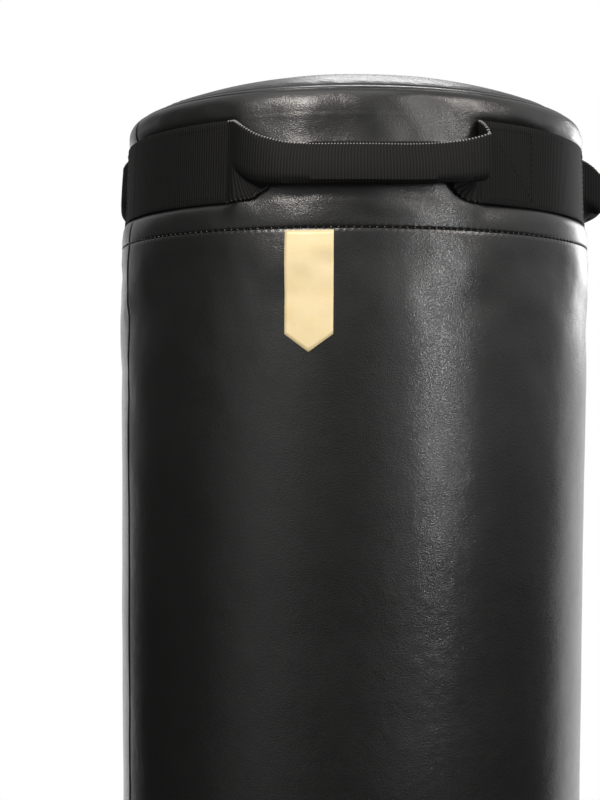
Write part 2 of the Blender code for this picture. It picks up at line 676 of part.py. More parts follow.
def loft(name, sections, finish, place=(0, 0, 0)):
    """A closed solid through rows of points that each hold the same number of corners."""
    shape = bmesh.new()
    start = Vector(place)
    rows = [[shape.verts.new(point - start) for point in section] for section in sections]
    corners = len(rows[0])
    for one, two in zip(rows, rows[1:]):
        for n in range(corners):
            after = (n + 1) % corners
            shape.faces.new((one[n], one[after], two[after], two[n]))
    shape.faces.new(rows[0][::-1])
    shape.faces.new(rows[-1])
    bmesh.ops.recalc_face_normals(shape, faces=shape.faces)
    mesh = bpy.data.meshes.new(name)
    shape.to_mesh(mesh)
    shape.free()
    smooth(mesh)
    return new_object(name, mesh, finish, place)


def band_section(angle, radius, middle, height, thickness, lean=0.0):
    """Four corners of an upright strip's section, with its upper edge leaning in."""
    low = middle - height / 2
    high = middle + height / 2
    half = thickness / 2
    return [
        ring_point(radius + half, angle, low),
        ring_point(radius + half - lean, angle, high),
        ring_point(radius - half - lean, angle, high),
        ring_point(radius - half, angle, low),
    ]


def make_stripe(foil):
    """A foil stripe with a pointed lower end, which follows the body panel."""
    radius = BAG_RADIUS + FIT_GAP + STRIPE_THICKNESS / 2
    top = SEAM_Z - STRIPE_BELOW_SEAM
    sections = []
    for n in range(STRIPE_STEPS + 1):
        across = 2 * n / STRIPE_STEPS - 1
        low = SEAM_Z - STRIPE_LENGTH - STRIPE_POINT * (1 - abs(across))
        angle = STRIPE_ANGLE + STRIPE_HALF_ANGLE * across
        sections.append(band_section(angle, radius, (low + top) / 2, top - low, STRIPE_THICKNESS))
    loft("foil_stripe", sections, foil)


def make_belt(webbing):
    """The sewn stretches of the belt, from one handle to the next."""
    for number in range(HANDLE_COUNT):
        first = HANDLE_STEP * number + HANDLE_HALF_ANGLE
        span = HANDLE_STEP - 2 * HANDLE_HALF_ANGLE
        sections = []
        for n in range(BELT_STEPS + 1):
            angle = first + span * n / BELT_STEPS
            sections.append(
                band_section(
                    angle, BELT_MIDDLE_RADIUS, BELT_MIDDLE_Z, WEBBING_WIDTH, WEBBING_THICKNESS, BELT_LEAN
                )
            )
        loft(f"belt_{number + 1}", sections, webbing)


def web_sections(middle, side):
    """The open web between the belt and one end of a grip, on the side -1 or 1 of the handle's middle."""
    join = math.degrees(FIT_GAP / BELT_RADIUS)
    span = HANDLE_HALF_ANGLE - GRIP_HALF_ANGLE - 2 * join
    sections = []
    for n in range(WEB_STEPS + 1):
        share = n / WEB_STEPS
        ease = share * share * (3 - 2 * share)
        angle = middle + side * (HANDLE_HALF_ANGLE - join - span * share)
        radius = BELT_MIDDLE_RADIUS + (GRIP_RADIUS - BELT_MIDDLE_RADIUS) * ease
        height = WEBBING_WIDTH + (GRIP_HEIGHT - WEBBING_WIDTH) * ease
        thickness = WEBBING_THICKNESS + (GRIP_THICKNESS - WEBBING_THICKNESS) * ease
        height_middle = BELT_MIDDLE_Z - GRIP_DROP * ease
        sections.append(band_section(angle, radius, height_middle, height, thickness, BELT_LEAN * (1 - ease)))
    return sections


def make_handles(webbing):
    """Each handle is a folded grip that stands off the bag, with an open web at each end."""
    for number in range(1, HANDLE_COUNT + 1):
        middle = HANDLE_STEP * (number - 1)
        hinge = ring_point(HANDLE_HINGE_RADIUS, middle, BELT_MIDDLE_Z)
        sections = []
        for n in range(GRIP_STEPS + 1):
            angle = middle + GRIP_HALF_ANGLE * (2 * n / GRIP_STEPS - 1)
            sections.append(band_section(angle, GRIP_RADIUS, GRIP_Z, GRIP_HEIGHT, GRIP_THICKNESS))
        loft(f"handle_{number}_grip", sections, webbing, hinge)
        loft(f"handle_{number}_web_left", web_sections(middle, -1), webbing, hinge)
        loft(f"handle_{number}_web_right", web_sections(middle, 1), webbing, hinge)


def hang(name, place, pieces):
    """An empty on the joint's axis carries the pieces that move about it."""
    centre = bpy.data.objects.new(name, None)
    centre.location = place
    centre.empty_display_size = WEBBING_WIDTH
    BAG.objects.link(centre)
    for piece in pieces:
        piece.parent = centre
        piece.matrix_parent_inverse = Matrix.Translation(place).inverted()


def make_bag():
    plastic = new_material("moulded polyethylene", (0.020, 0.020, 0.022), 0.5)
    rubber = new_material("black rubber", (0.015, 0.015, 0.015), 0.7)
    steel = new_material("black powder coated steel", (0.030, 0.030, 0.032), 0.45, 0.3)
    spring_steel = new_material("zinc plated spring steel", (0.50, 0.51, 0.53), 0.35, 1.0)
    brass = new_material("turned brass", (0.60, 0.42, 0.16), 0.35, 1.0)
    water = new_material("ballast water", (0.35, 0.55, 0.70), 0.1)
    urethane = new_material("cast urethane", (0.55, 0.12, 0.05), 0.4)
    foam = new_material("closed cell foam", (0.10, 0.10, 0.11), 0.9)
    soft_foam = new_material("soft top foam", (0.40, 0.40, 0.42), 0.9)
    leather = new_material("grained PU leather", (0.021, 0.021, 0.021), 0.38)
    foil = new_material("matt gold foil", (0.83, 0.66, 0.30), 0.42, 0.4)
    webbing = new_material("ribbed nylon webbing", (0.013, 0.013, 0.013), 0.75)

    make_tank(plastic)
    make_water(water)
    make_suction_cups(rubber)
    make_filler_cap(plastic, rubber)
    make_inserts(brass)
    make_plates(steel)
    make_bolts(
        "base_bolt", BASE_BOLT_CIRCLE, NECK_LOW_Z + FIT_GAP, BASE_BOLT_RADIUS, BASE_BOLT_LENGTH,
        BASE_BOLT_FLATS, BASE_BOLT_HEAD, False, spring_steel,
    )
    bag_bolt_length = FLANGE_Z + FLANGE_THICKNESS - NECK_HIGH_Z
    make_bolts(
        "bag_bolt", BAG_BOLT_CIRCLE, NECK_HIGH_Z - FIT_GAP, BAG_BOLT_RADIUS, bag_bolt_length,
        BAG_BOLT_FLATS, BAG_BOLT_HEAD, True, spring_steel,
    )
    make_springs(spring_steel)
    make_ball(urethane, steel)
    make_column(steel, plastic, foam, soft_foam)
    make_cover(leather)
    make_stripe(foil)
    make_belt(webbing)
    make_handles(webbing)
    hang("lean_centre", (0, 0, BALL_Z), [piece for piece in BAG.objects if rides_on_neck(piece)])


def rides_on_neck(piece):
    """True for the pieces above the ball."""
    parts = ("bag_bolt", "base_board", "upper_", "tube_", "core", "top_", "_panel", "stripe", "belt", "handle")
    return any(part in piece.name for part in parts)


empty_scene()
BAG = new_collection("punching bag")
CUTTERS = new_collection("cutters")
CUTTERS.hide_render = True
BOARD_FINISH = new_material("birch plywood", (0.45, 0.32, 0.19), 0.7)
make_bag()
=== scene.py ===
"""Finish for a free-standing punching bag: leather, webbing, thread, tank, spring neck and studio."""

import bisect
import math

import bmesh
import bpy
from mathutils import Matrix, Vector, noise


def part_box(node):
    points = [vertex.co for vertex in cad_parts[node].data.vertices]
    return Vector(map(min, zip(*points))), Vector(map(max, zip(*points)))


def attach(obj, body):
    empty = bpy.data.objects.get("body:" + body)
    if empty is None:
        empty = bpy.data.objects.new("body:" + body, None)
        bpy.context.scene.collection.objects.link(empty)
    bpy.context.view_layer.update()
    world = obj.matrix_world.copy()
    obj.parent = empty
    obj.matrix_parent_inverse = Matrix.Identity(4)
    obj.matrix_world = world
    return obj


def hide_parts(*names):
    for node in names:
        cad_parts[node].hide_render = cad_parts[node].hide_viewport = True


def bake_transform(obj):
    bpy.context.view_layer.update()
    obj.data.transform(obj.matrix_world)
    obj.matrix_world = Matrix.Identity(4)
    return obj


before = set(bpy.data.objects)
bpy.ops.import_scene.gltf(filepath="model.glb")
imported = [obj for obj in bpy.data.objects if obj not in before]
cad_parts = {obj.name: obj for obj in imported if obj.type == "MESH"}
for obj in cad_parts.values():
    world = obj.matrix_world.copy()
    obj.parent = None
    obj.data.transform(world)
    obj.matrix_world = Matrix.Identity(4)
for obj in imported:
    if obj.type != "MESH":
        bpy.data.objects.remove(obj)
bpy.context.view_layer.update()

bl_info = {
    "name": "Punching bag finish",
    "version": (1, 0, 0),
    "blender": (4, 5, 0),
    "location": "3D View > Sidebar > Bag",
    "description": "Dresses the punching bag in leather, webbing and thread, and sets it in a studio",
    "category": "Add Mesh",
}

# Places that come from the frame, in metres. The front is -Y, and angles go from it towards +X.
BAG_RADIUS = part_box("body_panel")[1].x
SEAM_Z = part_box("body_panel")[1].z
COVER_BOTTOM_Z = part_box("body_panel")[0].z
TOP_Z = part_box("top_cap")[1].z
BELT_LOW_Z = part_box("belt_1")[0].z
BELT_HIGH_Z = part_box("belt_1")[1].z
BELT_Z = (BELT_LOW_Z + BELT_HIGH_Z) / 2
NECK_LOW_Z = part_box("lower_spring_plate")[1].z
NECK_HIGH_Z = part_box("upper_spring_plate")[0].z
BALL_Z = (NECK_LOW_Z + NECK_HIGH_Z) / 2
TANK_TOP_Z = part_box("base_tank")[1].z
TANK_FLOOR_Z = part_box("base_tank")[0].z
TANK_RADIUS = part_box("base_tank")[1].x

# One light and one dark ply of the base board, in metres
PLY_PAIR = 0.003

# Sizes of the neck, in metres. Each cup stops short of the ball's middle by BALL_GAP, and each weld leaves a
# small gap.
PLATE_ROUND = 0.0010
PLATE_CHAMFER = 0.0003
BALL_RADIUS = 0.042
BALL_SEAT = 0.0428
BALL_GAP = 0.016
CUP_WALL = 0.005
WELD_GAP = 0.0003
SPRING_CIRCLE_RADIUS = 0.07505
SPRING_RADIUS = 0.0195
SPRING_WIRE = 0.0075
SPRING_BEND = 0.008
SPRING_TURNS = 6
SPRING_PITCH = (BALL_Z - NECK_LOW_Z - WELD_GAP - SPRING_WIRE - SPRING_BEND) / (SPRING_TURNS / 2)
SPRING_STEPS = 32

# Sizes of the tank, in metres. Its wall stands in from the foot, and leans in to a round shoulder.
TANK_FOOT_HEIGHT = 0.050
TANK_FOOT_STEP = 0.010
TANK_FOOT_ROUND = 0.014
TANK_WALL_LEAN = 0.008
TANK_SHOULDER = 0.040
TANK_SHOULDER_DROP = 0.074

# The raised edge of the tank's flat top, where the neck stands: radius and drop
TANK_DECK = ((0, 0), (0.1265, 0), (0.1280, 0.0005), (0.1290, 0.0018), (0.1300, 0.0040), (0.1330, 0.0052))

# The filler neck: its place, and its outline as radius and drop from its top
FILLER_Y = 0.192
FILLER_TOP_Z = 0.2910
FILLER_OUTLINE = (
    (0.0225, 0.0290), (0.0225, 0.0006), (0.0231, 0.0), (0.0333, 0.0), (0.0340, 0.0007), (0.0340, 0.0110),
    (0.0350, 0.0165), (0.0380, 0.0220), (0.0430, 0.0310), (0.0430, 0.0410), (0.0225, 0.0410),
)

# Sizes of the filler cap with its bar and plug, and of its seal, in metres. The depth of its grips is a share
# of its radius.
SCREW_CAP_RADIUS = 0.031
SCREW_CAP_ROUND = 0.0016
SCREW_CAP_GAP = 0.0003
GRIP_COUNT = 16
GRIP_DEPTH = 0.075
PLUG_TIP_RADIUS = 0.0207
PLUG_TOP_RADIUS = 0.0217
PLUG_DEPTH = 0.0160
BAR_LENGTH = 0.040
BAR_WIDTH = 0.007
BAR_RISE = 0.006
BAR_ROUND = 0.0018
SEAL_OUTER = 0.0275
SEAL_INNER = 0.0225
SEAL_ROUND = 0.0006

# A suction cup, with its stud in the tank: radius and height above the floor
SUCTION_CUP = (
    (0, 0.0220), (0.0080, 0.0220), (0.0080, 0.0177), (0.0160, 0.0177), (0.0168, 0.0150), (0.0186, 0.0112),
    (0.0230, 0.0080), (0.0290, 0.0056), (0.0335, 0.0032), (0.0358, 0.0008), (0.0360, 0.0), (0.0300, 0.0),
    (0.0230, 0.0036), (0.0160, 0.0055), (0, 0.0070),
)

# Sizes of the foam and of the leather ring under it, in metres. The foam leaves room for the tube and its
# flange, and its soft crown follows the cap.
FOAM_INSET = 0.0036
FOAM_GAP = 0.0006
FOAM_BORE = 0.0305
FLANGE_ROOM_RADIUS = 0.0905
FLANGE_ROOM_HEIGHT = 0.0085
CROWN_GAP = 0.0003
CROWN_INSET = 0.0030
CROWN_FALL = 0.0270
CROWN_RADIUS = 0.1440
CROWN_ROWS = 12
CROWN_SIDE = ((0.1500, 1.7110), (0.1525, 1.7000), (0.1530, BELT_LOW_Z), (0.1545, SEAM_Z))
BOTTOM_RING_OUTER = 0.1447
BOTTOM_RING_INNER = 0.1201
BOTTOM_RING_WALL = 0.0015

# Sizes of the cover, in metres and degrees
DOME_TOP_Z = TOP_Z - 0.0008
CAP_EDGE_RADIUS = 0.1487
CAP_EDGE_Z = SEAM_Z + 0.0845
CAP_RISE = 0.0006
CAP_POWER = 2.3
CAP_ROWS = 30
COVER_CORNER = 0.015
COVER_WALL = 0.0012
COVER_STEPS = 180
SEAM_ANGLE = -66.5
SEAM_WIDTH = 0.4
BODY_SEAM_SINK = 0.0010
COLLAR_SEAM_SINK = 0.0008
SETTLE_FRAMES = 20
BODY_SETTLE = 0.0007
CAP_SETTLE = 0.0005
WAIST_DEPTH = 0.0032
WAIST_REACH = 0.45

# The body's turned-in edge at the lower seam: in from the body's side, and down from the seam
BODY_EDGE = ((0.0030, 0.0001), (0.0012, 0.0002), (0.0005, 0.0004), (0.0001, 0.0010), (0.0, 0.0030))

# The cap's edge. Its dome falls into a groove: in from the edge, and drop below the dome
CAP_FALL = ((0.0108, 0), (0.0086, 0), (0.0073, 0.0001), (0.0063, 0.0005))

# A ledge and a rolled lip follow the groove: in from the edge, and height above it
CAP_ROLL = (
    (0.0056, 0.0014), (0.0050, 0.0007), (0.0045, 0.0005), (0.0040, 0.0010), (0.0036, 0.0016),
    (0.0028, 0.0013), (0.0013, 0.0007), (0.0005, 0.0003), (0.0001, -0.0002), (0.0, -0.0006),
    (0.0003, -0.0010), (0.0012, -0.0012), (0.0035, -0.0010),
)

# The collar from the lower seam to its roll under the cap: height above the seam, radius under the belt, and
# radius where a handle leaves it free
COLLAR_ROWS = (
    (0.0001, 0.1568, 0.1568), (0.0002, 0.1582, 0.1582), (0.0005, 0.1594, 0.1594), (0.0012, 0.1599, 0.1599),
    (0.0032, 0.1600, 0.1601), (0.0065, 0.1598, 0.1602), (0.0105, 0.1593, 0.1603), (0.0138, 0.1582, 0.1602),
    (0.0158, 0.1566, 0.1600), (0.0172, 0.1553, 0.1598), (0.0200, 0.1550, 0.1595), (0.0300, 0.1547, 0.1588),
    (0.0410, 0.1544, 0.1575), (0.0490, 0.1542, 0.1564), (0.0550, 0.1541, 0.1560), (0.0640, 0.1538, 0.1558),
    (0.0668, 0.1541, 0.1558), (0.0688, 0.1550, 0.1557), (0.0716, 0.1555, 0.1556), (0.0750, 0.1552, 0.1552),
    (0.0786, 0.1543, 0.1543), (0.0812, 0.1529, 0.1529), (0.0829, 0.1510, 0.1510), (0.0836, 0.1493, 0.1493),
    (0.0835, 0.1478, 0.1478), (0.0826, 0.1466, 0.1466), (0.0810, 0.1462, 0.1462),
)

# Stitches, in metres and degrees. A stitch or pucker has a length and a thickness. Those of the lower seam
# lie a little inside the body's side, the cap's lie in from its edge, and boxes keep off the webbing's edges.
# Tacks stand in rows across a grip.
SEAM_RISE = 0.0001
SEAM_STITCH = (0.0028, 0.0008)
SEAM_STITCH_SINK = 0.0011
PUCKER = (0.0020, 0.0016)
PUCKER_SINK = 0.0007
CAP_STITCH = (0.0023, 0.0008)
CAP_STITCH_INSET = 0.0050
CAP_STITCH_RISE = 0.0015
BOX_STITCH = (0.0023, 0.0009)
BOX_ANGLES = (31.5, 44.2)
BOX_MARGIN = 0.004
TACK_STITCH = (0.0014, 0.0010)
TACK_ANGLES = (-12.8, 23.6)
TACK_ROWS = (0.0145, 0.0160)

# The foil stripe: its sides in degrees, and sizes in metres
STRIPE_SIDES = (-14.70, -4.20)
STRIPE_POINT = 0.0106
STRIPE_BELOW_SEAM = 0.0014
STRIPE_PROUD = 0.0005
STRIPE_FILM = 0.0003

# Sizes of the webbing, in metres and degrees. A handle's side is 1 or -1 for the way that its sharp end
# points.
WEBBING_WIDTH = 0.050
WEBBING_THICKNESS = 0.0016
WEBBING_RADIUS = 0.1573
WEBBING_OFF_LEATHER = 0.0016
SELVAGE_INSET = 0.0006
SELVAGE_BEAD = 0.0017
YARN_PITCH = 0.0011
BELT_LEAN = 0.0014
BELT_SEAM_GAP = 0.22
HANDLE_STEP = 120
HANDLE_SIDES = ((1, 1), (2, -1), (3, -1))
HANDLE_FOOT = 29.5
HANDLE_FREE = 3
FOLD_OFFSET = 0.003
FOLD_RADIUS = 0.0015
OPEN_FOLD_RADIUS = 0.010
FULL_TURN = 170

# One handle from its smooth end to its sharp end: angle from its middle, radius, height of its fold above the
# belt's lower edge, turn of the lower half and lean of the upper half
HANDLE_STATIONS = (
    (-29.5, 0.1565, 0.0250, 0, 0), (-28.6, 0.1571, 0.0249, 5, 0), (-27.2, 0.1598, 0.0244, 20, 1),
    (-25.4, 0.1638, 0.0222, 40, 2), (-23.7, 0.1664, 0.0198, 57, 4), (-20.4, 0.1691, 0.0150, 88, 8),
    (-17.0, 0.1707, 0.0124, 125, 15), (-13.7, 0.1715, 0.0108, 155, 23), (-9.0, 0.1720, 0.0101, 168, 29),
    (-3.0, 0.1722, 0.0099, 170, 30), (4.0, 0.1722, 0.0099, 170, 30), (11.0, 0.1722, 0.0101, 170, 30),
    (17.2, 0.1722, 0.0112, 168, 27), (22.0, 0.1724, 0.0127, 160, 17), (25.3, 0.1729, 0.0147, 140, 7),
    (26.9, 0.1733, 0.0160, 125, 2), (27.5, 0.1728, 0.0164, 115, 1), (27.9, 0.1707, 0.0174, 98, 0),
    (28.15, 0.1674, 0.0202, 70, 0), (28.35, 0.1640, 0.0223, 45, 0), (28.55, 0.1604, 0.0239, 20, 0),
    (28.85, 0.1577, 0.0248, 6, 0), (29.2, 0.1567, 0.0250, 0, 0), (29.5, 0.1565, 0.0250, 0, 0),
)


def hex_colour(text):
    """An sRGB hex value as linear red, green, blue and alpha."""
    parts = [int(text[n:n + 2], 16) / 255 for n in (1, 3, 5)]
    linear = [part / 12.92 if part <= 0.04045 else ((part + 0.055) / 1.055) ** 2.4 for part in parts]
    return (*linear, 1.0)


def colour_setting(name, description, default):
    return bpy.props.FloatVectorProperty(
        name=name, description=description, default=hex_colour(default), subtype="COLOR", size=4, min=0, max=1
    )


def length_setting(name, description, default):
    return bpy.props.FloatProperty(
        name=name, description=description, unit="LENGTH", precision=5, min=0.0001, max=0.5, default=default
    )


class BagFinish(bpy.types.PropertyGroup):
    """Sizes and colours that a user would change."""

    leather_colour: colour_setting("Leather", "Colour of the cover", "#161616")
    webbing_colour: colour_setting("Webbing", "Colour of the belt and handles", "#0b0b0b")
    thread_colour: colour_setting("Thread", "Colour of the stitches", "#0c0c0c")
    foil_colour: colour_setting("Foil", "Colour of the printed stripe", "#e6cc8e")
    plastic_colour: colour_setting("Plastic", "Colour of the tank and its cap", "#1d1d1f")
    steel_colour: colour_setting("Steel", "Colour of the powder coat", "#202022")
    grain: length_setting("Grain", "Width of one pebble of the leather grain", 0.0008)
    rib_pitch: length_setting("Rib pitch", "Spacing of the ribs of the webbing", 0.0019)
    seam_pitch: length_setting("Seam stitch", "Length of a stitch of the lower seam", 0.0045)
    cap_pitch: length_setting("Cap stitch", "Length of a stitch of the cap's topstitch", 0.003)
    box_pitch: length_setting("Box stitch", "Length of a stitch of the sewn boxes", 0.0036)


# Finishes


def add_node(tree, kind, inputs=None, **settings):
    """A shader node with its settings, whose inputs are linked to a node or socket, or set to a value."""
    node = tree.nodes.new("ShaderNode" + kind)
    for name, value in settings.items():
        setattr(node, name, value)
    for key, value in (inputs or {}).items():
        if isinstance(value, bpy.types.Node):
            value = value.outputs[0]
        if isinstance(value, bpy.types.NodeSocket):
            tree.links.new(value, node.inputs[key])
        else:
            node.inputs[key].default_value = value
    return node


def new_finish(name, colour, values):
    """A material with a Principled shader, and the values of its other sockets by name."""
    made = bpy.data.materials.new(name)
    made.use_nodes = True
    shader = made.node_tree.nodes["Principled BSDF"]
    shader.inputs["Base Color"].default_value = colour
    for key, value in values.items():
        shader.inputs[key].default_value = value
    return made, made.node_tree, shader


def link_finish(tree, shader, **sockets):
    """Links nodes to the shader's sockets, which are named with underscores."""
    for key, value in sockets.items():
        source = value.outputs[0] if isinstance(value, bpy.types.Node) else value
        tree.links.new(source, shader.inputs[key.replace("_", " ")])


def darker(colour, share):
    return (colour[0] * share, colour[1] * share, colour[2] * share, 1.0)


def cells(width):
    """A pattern's scale, from the width of one of its cells in millimetres."""
    return 1000 / width


def grained_leather(bag):
    """PU leather, a film pressed on cloth: fine pebbles break up its satin highlights, long and soft.

    Wider swells and cockles show how it lies on its filling. It puckers between the seam's stitches."""
    values = {"Roughness": 0.32, "Coat Weight": 0.55, "Coat Roughness": 0.15}
    made, tree, shader = new_finish("grained PU leather", bag.leather_colour, values)
    place = add_node(tree, "TexCoord").outputs["Object"]
    drift = add_node(tree, "TexNoise", {"Vector": place, "Scale": cells(6.25), "Detail": 2})
    bend = {0: drift.outputs["Color"], 1: (0.003, 0.003, 0.003), 2: place}
    bent = add_node(tree, "VectorMath", bend, operation="MULTIPLY_ADD")
    flat = add_node(tree, "Mapping", {"Vector": bent, "Scale": (1, 1, 1.4)})
    grain = {"Vector": flat, "Scale": 1 / bag.grain, "Smoothness": 0.4}
    pebbles = add_node(tree, "TexVoronoi", grain, feature="SMOOTH_F1")
    wide = add_node(tree, "Mapping", {"Vector": place, "Scale": (1, 1, 1.6)})
    creases = add_node(tree, "TexNoise", {"Vector": wide, "Scale": cells(2.381), "Detail": 3})
    cockle = add_node(tree, "TexNoise", {"Vector": place, "Scale": cells(11.765), "Detail": 3})
    swell = add_node(tree, "TexNoise", {"Vector": place, "Scale": cells(45.455), "Detail": 2})
    normal = add_node(tree, "Bump", {"Height": swell, "Distance": 0.0016, "Strength": 0.35})
    finer = ((cockle, 0.0004, 0.2), (creases, 0.0003, 0.05), (pebbles, 0.0003, 0.3))
    for height, distance, strength in finer:
        bump = {"Height": height, "Distance": distance, "Strength": strength, "Normal": normal}
        normal = add_node(tree, "Bump", bump)
    parts = add_node(tree, "SeparateXYZ", {0: place})
    angle = add_node(tree, "Math", {0: parts.outputs[0], 1: parts.outputs[1]}, operation="ARCTAN2")
    count = round(2 * math.pi * (BAG_RADIUS - SEAM_STITCH_SINK) / bag.seam_pitch)
    waves = add_node(tree, "Math", {0: angle, 1: count}, operation="MULTIPLY")
    wave = add_node(tree, "Math", {0: waves}, operation="COSINE")
    above = add_node(tree, "Math", {0: parts.outputs[2], 1: SEAM_Z}, operation="SUBTRACT")
    near = add_node(tree, "Math", {0: above}, operation="ABSOLUTE")
    fade = add_node(tree, "MapRange", {0: near, 1: 0.0006, 2: 0.0028, 3: 1.0, 4: 0.0})
    pucker = add_node(tree, "Math", {0: wave, 1: fade}, operation="MULTIPLY")
    bump = {"Height": pucker, "Distance": 0.0003, "Strength": 0.2, "Normal": normal}
    normal = add_node(tree, "Bump", bump)
    worn = add_node(tree, "MapRange", {"Value": cockle, "To Min": 0.27, "To Max": 0.38})
    shades = {0: swell, 6: bag.leather_colour, 7: darker(bag.leather_colour, 1.25)}
    shade = add_node(tree, "Mix", shades, data_type="RGBA").outputs[2]
    link_finish(tree, shader, Base_Color=shade, Roughness=worn, Normal=normal, Coat_Normal=normal)
    return made


def ribbed_webbing(bag):
    """Woven nylon: ribs across the strap and beads along its selvages, over dull yarn. The colour paints the
    rib crests a little lighter and the handles' upper beads pale grey, as painted highlights of the lamps
    above.
    """
    values = {"Roughness": 0.62, "Specular IOR Level": 0.17}
    made, tree, shader = new_finish("ribbed nylon webbing", bag.webbing_colour, values)
    parts = add_node(tree, "SeparateXYZ", {0: add_node(tree, "UVMap", uv_map="UVMap")})
    ribs = add_node(tree, "Math", {0: parts.outputs[0], 1: 2 * math.pi}, operation="MULTIPLY")
    rib = add_node(tree, "MapRange", {0: add_node(tree, "Math", {0: ribs}, operation="SINE"), 1: -1, 2: 1})
    yarns = add_node(tree, "Math", {0: parts.outputs[1], 1: 2 * math.pi / YARN_PITCH}, operation="MULTIPLY")
    yarn = add_node(tree, "Math", {0: yarns}, operation="SINE")
    side = add_node(tree, "Math", {0: parts.outputs[1]}, operation="ABSOLUTE")
    bead = add_node(tree, "MapRange", {0: side, 1: WEBBING_WIDTH / 2, 2: WEBBING_WIDTH / 2 + 0.001})
    place = add_node(tree, "TexCoord").outputs["Object"]
    fuzz = add_node(tree, "TexNoise", {"Vector": place, "Scale": cells(0.909), "Detail": 3})
    weave = add_node(tree, "Math", {0: yarn, 1: 0.12, 2: rib}, operation="MULTIPLY_ADD")
    normal = add_node(tree, "Bump", {"Height": weave, "Distance": 0.0003, "Strength": 0.45})
    normal = add_node(tree, "Bump", {"Height": fuzz, "Distance": 0.0002, "Strength": 0.3, "Normal": normal})
    # Painted highlight: the rib crests a little lighter, and the upper selvage beads up to pale grey, where
    # lamps above would glint on them
    light = add_node(tree, "Math", {0: rib, 1: 0.035, 2: bead}, operation="MULTIPLY_ADD")
    shades = {0: light, 6: darker(bag.webbing_colour, 0.5), 7: hex_colour("#8a8a8a")}
    shade = add_node(tree, "Mix", shades, data_type="RGBA").outputs[2]
    worn = add_node(tree, "MapRange", {0: bead, "To Min": 0.66, "To Max": 0.30})
    link_finish(tree, shader, Base_Color=shade, Roughness=worn, Normal=normal)
    return made


def bonded_thread(bag):
    """Bonded polyester thread: smooth and slightly shiny."""
    made, tree, shader = new_finish("bonded thread", bag.thread_colour, {"Specular IOR Level": 0.2})
    place = add_node(tree, "TexCoord").outputs["Object"]
    twist = add_node(tree, "TexNoise", {"Vector": place, "Scale": cells(0.833), "Detail": 2})
    worn = add_node(tree, "MapRange", {0: twist, "To Min": 0.5, "To Max": 0.7})
    link_finish(tree, shader, Roughness=worn)
    return made


def gold_foil(bag):
    """Heat-pressed foil film: pale satin gold that takes a little of the leather's grain."""
    made, tree, shader = new_finish("matt gold foil", bag.foil_colour, {"Roughness": 0.46, "Metallic": 0.1})
    place = add_node(tree, "TexCoord").outputs["Object"]
    grain = add_node(tree, "TexNoise", {"Vector": place, "Scale": cells(2), "Detail": 4})
    cloud = add_node(tree, "TexNoise", {"Vector": place, "Scale": cells(20), "Detail": 2})
    normal = add_node(tree, "Bump", {"Height": grain, "Distance": 0.0003, "Strength": 0.2})
    shades = {0: cloud, 6: bag.foil_colour, 7: hex_colour("#f0e0bd")}
    shade = add_node(tree, "Mix", shades, data_type="RGBA").outputs[2]
    link_finish(tree, shader, Base_Color=shade, Normal=normal)
    return made


def moulded_plastic(bag):
    """Blow-moulded polyethylene: a fine eroded texture under soft waxy highlights."""
    made, tree, shader = new_finish("moulded polyethylene", bag.plastic_colour, {"Roughness": 0.5})
    place = add_node(tree, "TexCoord").outputs["Object"]
    spark = add_node(tree, "TexNoise", {"Vector": place, "Scale": cells(1.613), "Detail": 3})
    flow = add_node(tree, "TexNoise", {"Vector": place, "Scale": cells(62.5), "Detail": 3})
    normal = add_node(tree, "Bump", {"Height": flow, "Distance": 0.002, "Strength": 0.15})
    bump = {"Height": spark, "Distance": 0.0004, "Strength": 0.35, "Normal": normal}
    normal = add_node(tree, "Bump", bump)
    worn = add_node(tree, "MapRange", {0: flow, "To Min": 0.42, "To Max": 0.58})
    link_finish(tree, shader, Roughness=worn, Normal=normal)
    return made


def black_rubber():
    """Moulded rubber: dull, with a dusty bloom."""
    made, tree, shader = new_finish("black rubber", hex_colour("#141414"), {"Roughness": 0.7})
    place = add_node(tree, "TexCoord").outputs["Object"]
    dust = add_node(tree, "TexNoise", {"Vector": place, "Scale": cells(4), "Detail": 4})
    shades = {0: dust, 6: hex_colour("#101010"), 7: hex_colour("#222120")}
    shade = add_node(tree, "Mix", shades, data_type="RGBA").outputs[2]
    normal = add_node(tree, "Bump", {"Height": dust, "Distance": 0.0003, "Strength": 0.2})
    link_finish(tree, shader, Base_Color=shade, Normal=normal)
    return made


def powder_coat(bag):
    """Powder-coated steel: a satin film with the orange peel of melted powder."""
    made, tree, shader = new_finish("powder coated steel", bag.steel_colour, {"Roughness": 0.42})
    place = add_node(tree, "TexCoord").outputs["Object"]
    peel = add_node(tree, "TexNoise", {"Vector": place, "Scale": cells(1.3), "Detail": 2})
    normal = add_node(tree, "Bump", {"Height": peel, "Distance": 0.0003, "Strength": 0.3})
    worn = add_node(tree, "MapRange", {0: peel, "To Min": 0.36, "To Max": 0.5})
    link_finish(tree, shader, Roughness=worn, Normal=normal)
    return made


def plated_steel():
    """Zinc-plated steel: bright and cloudy, with fine drawing marks."""
    made, tree, shader = new_finish("zinc plated steel", hex_colour("#b9bcc0"), {"Metallic": 1.0})
    place = add_node(tree, "TexCoord").outputs["Object"]
    cloud = add_node(tree, "TexNoise", {"Vector": place, "Scale": cells(5.88), "Detail": 4})
    drawn = add_node(tree, "Mapping", {"Vector": place, "Scale": (1, 1, 6)})
    marks = add_node(tree, "TexNoise", {"Vector": drawn, "Scale": cells(0.833), "Detail": 2})
    normal = add_node(tree, "Bump", {"Height": marks, "Distance": 0.0001, "Strength": 0.2})
    shades = {0: cloud, 6: hex_colour("#a9adb3"), 7: hex_colour("#c8c9c8")}
    shade = add_node(tree, "Mix", shades, data_type="RGBA").outputs[2]
    worn = add_node(tree, "MapRange", {0: cloud, "To Min": 0.22, "To Max": 0.42})
    link_finish(tree, shader, Base_Color=shade, Roughness=worn, Normal=normal)
    return made


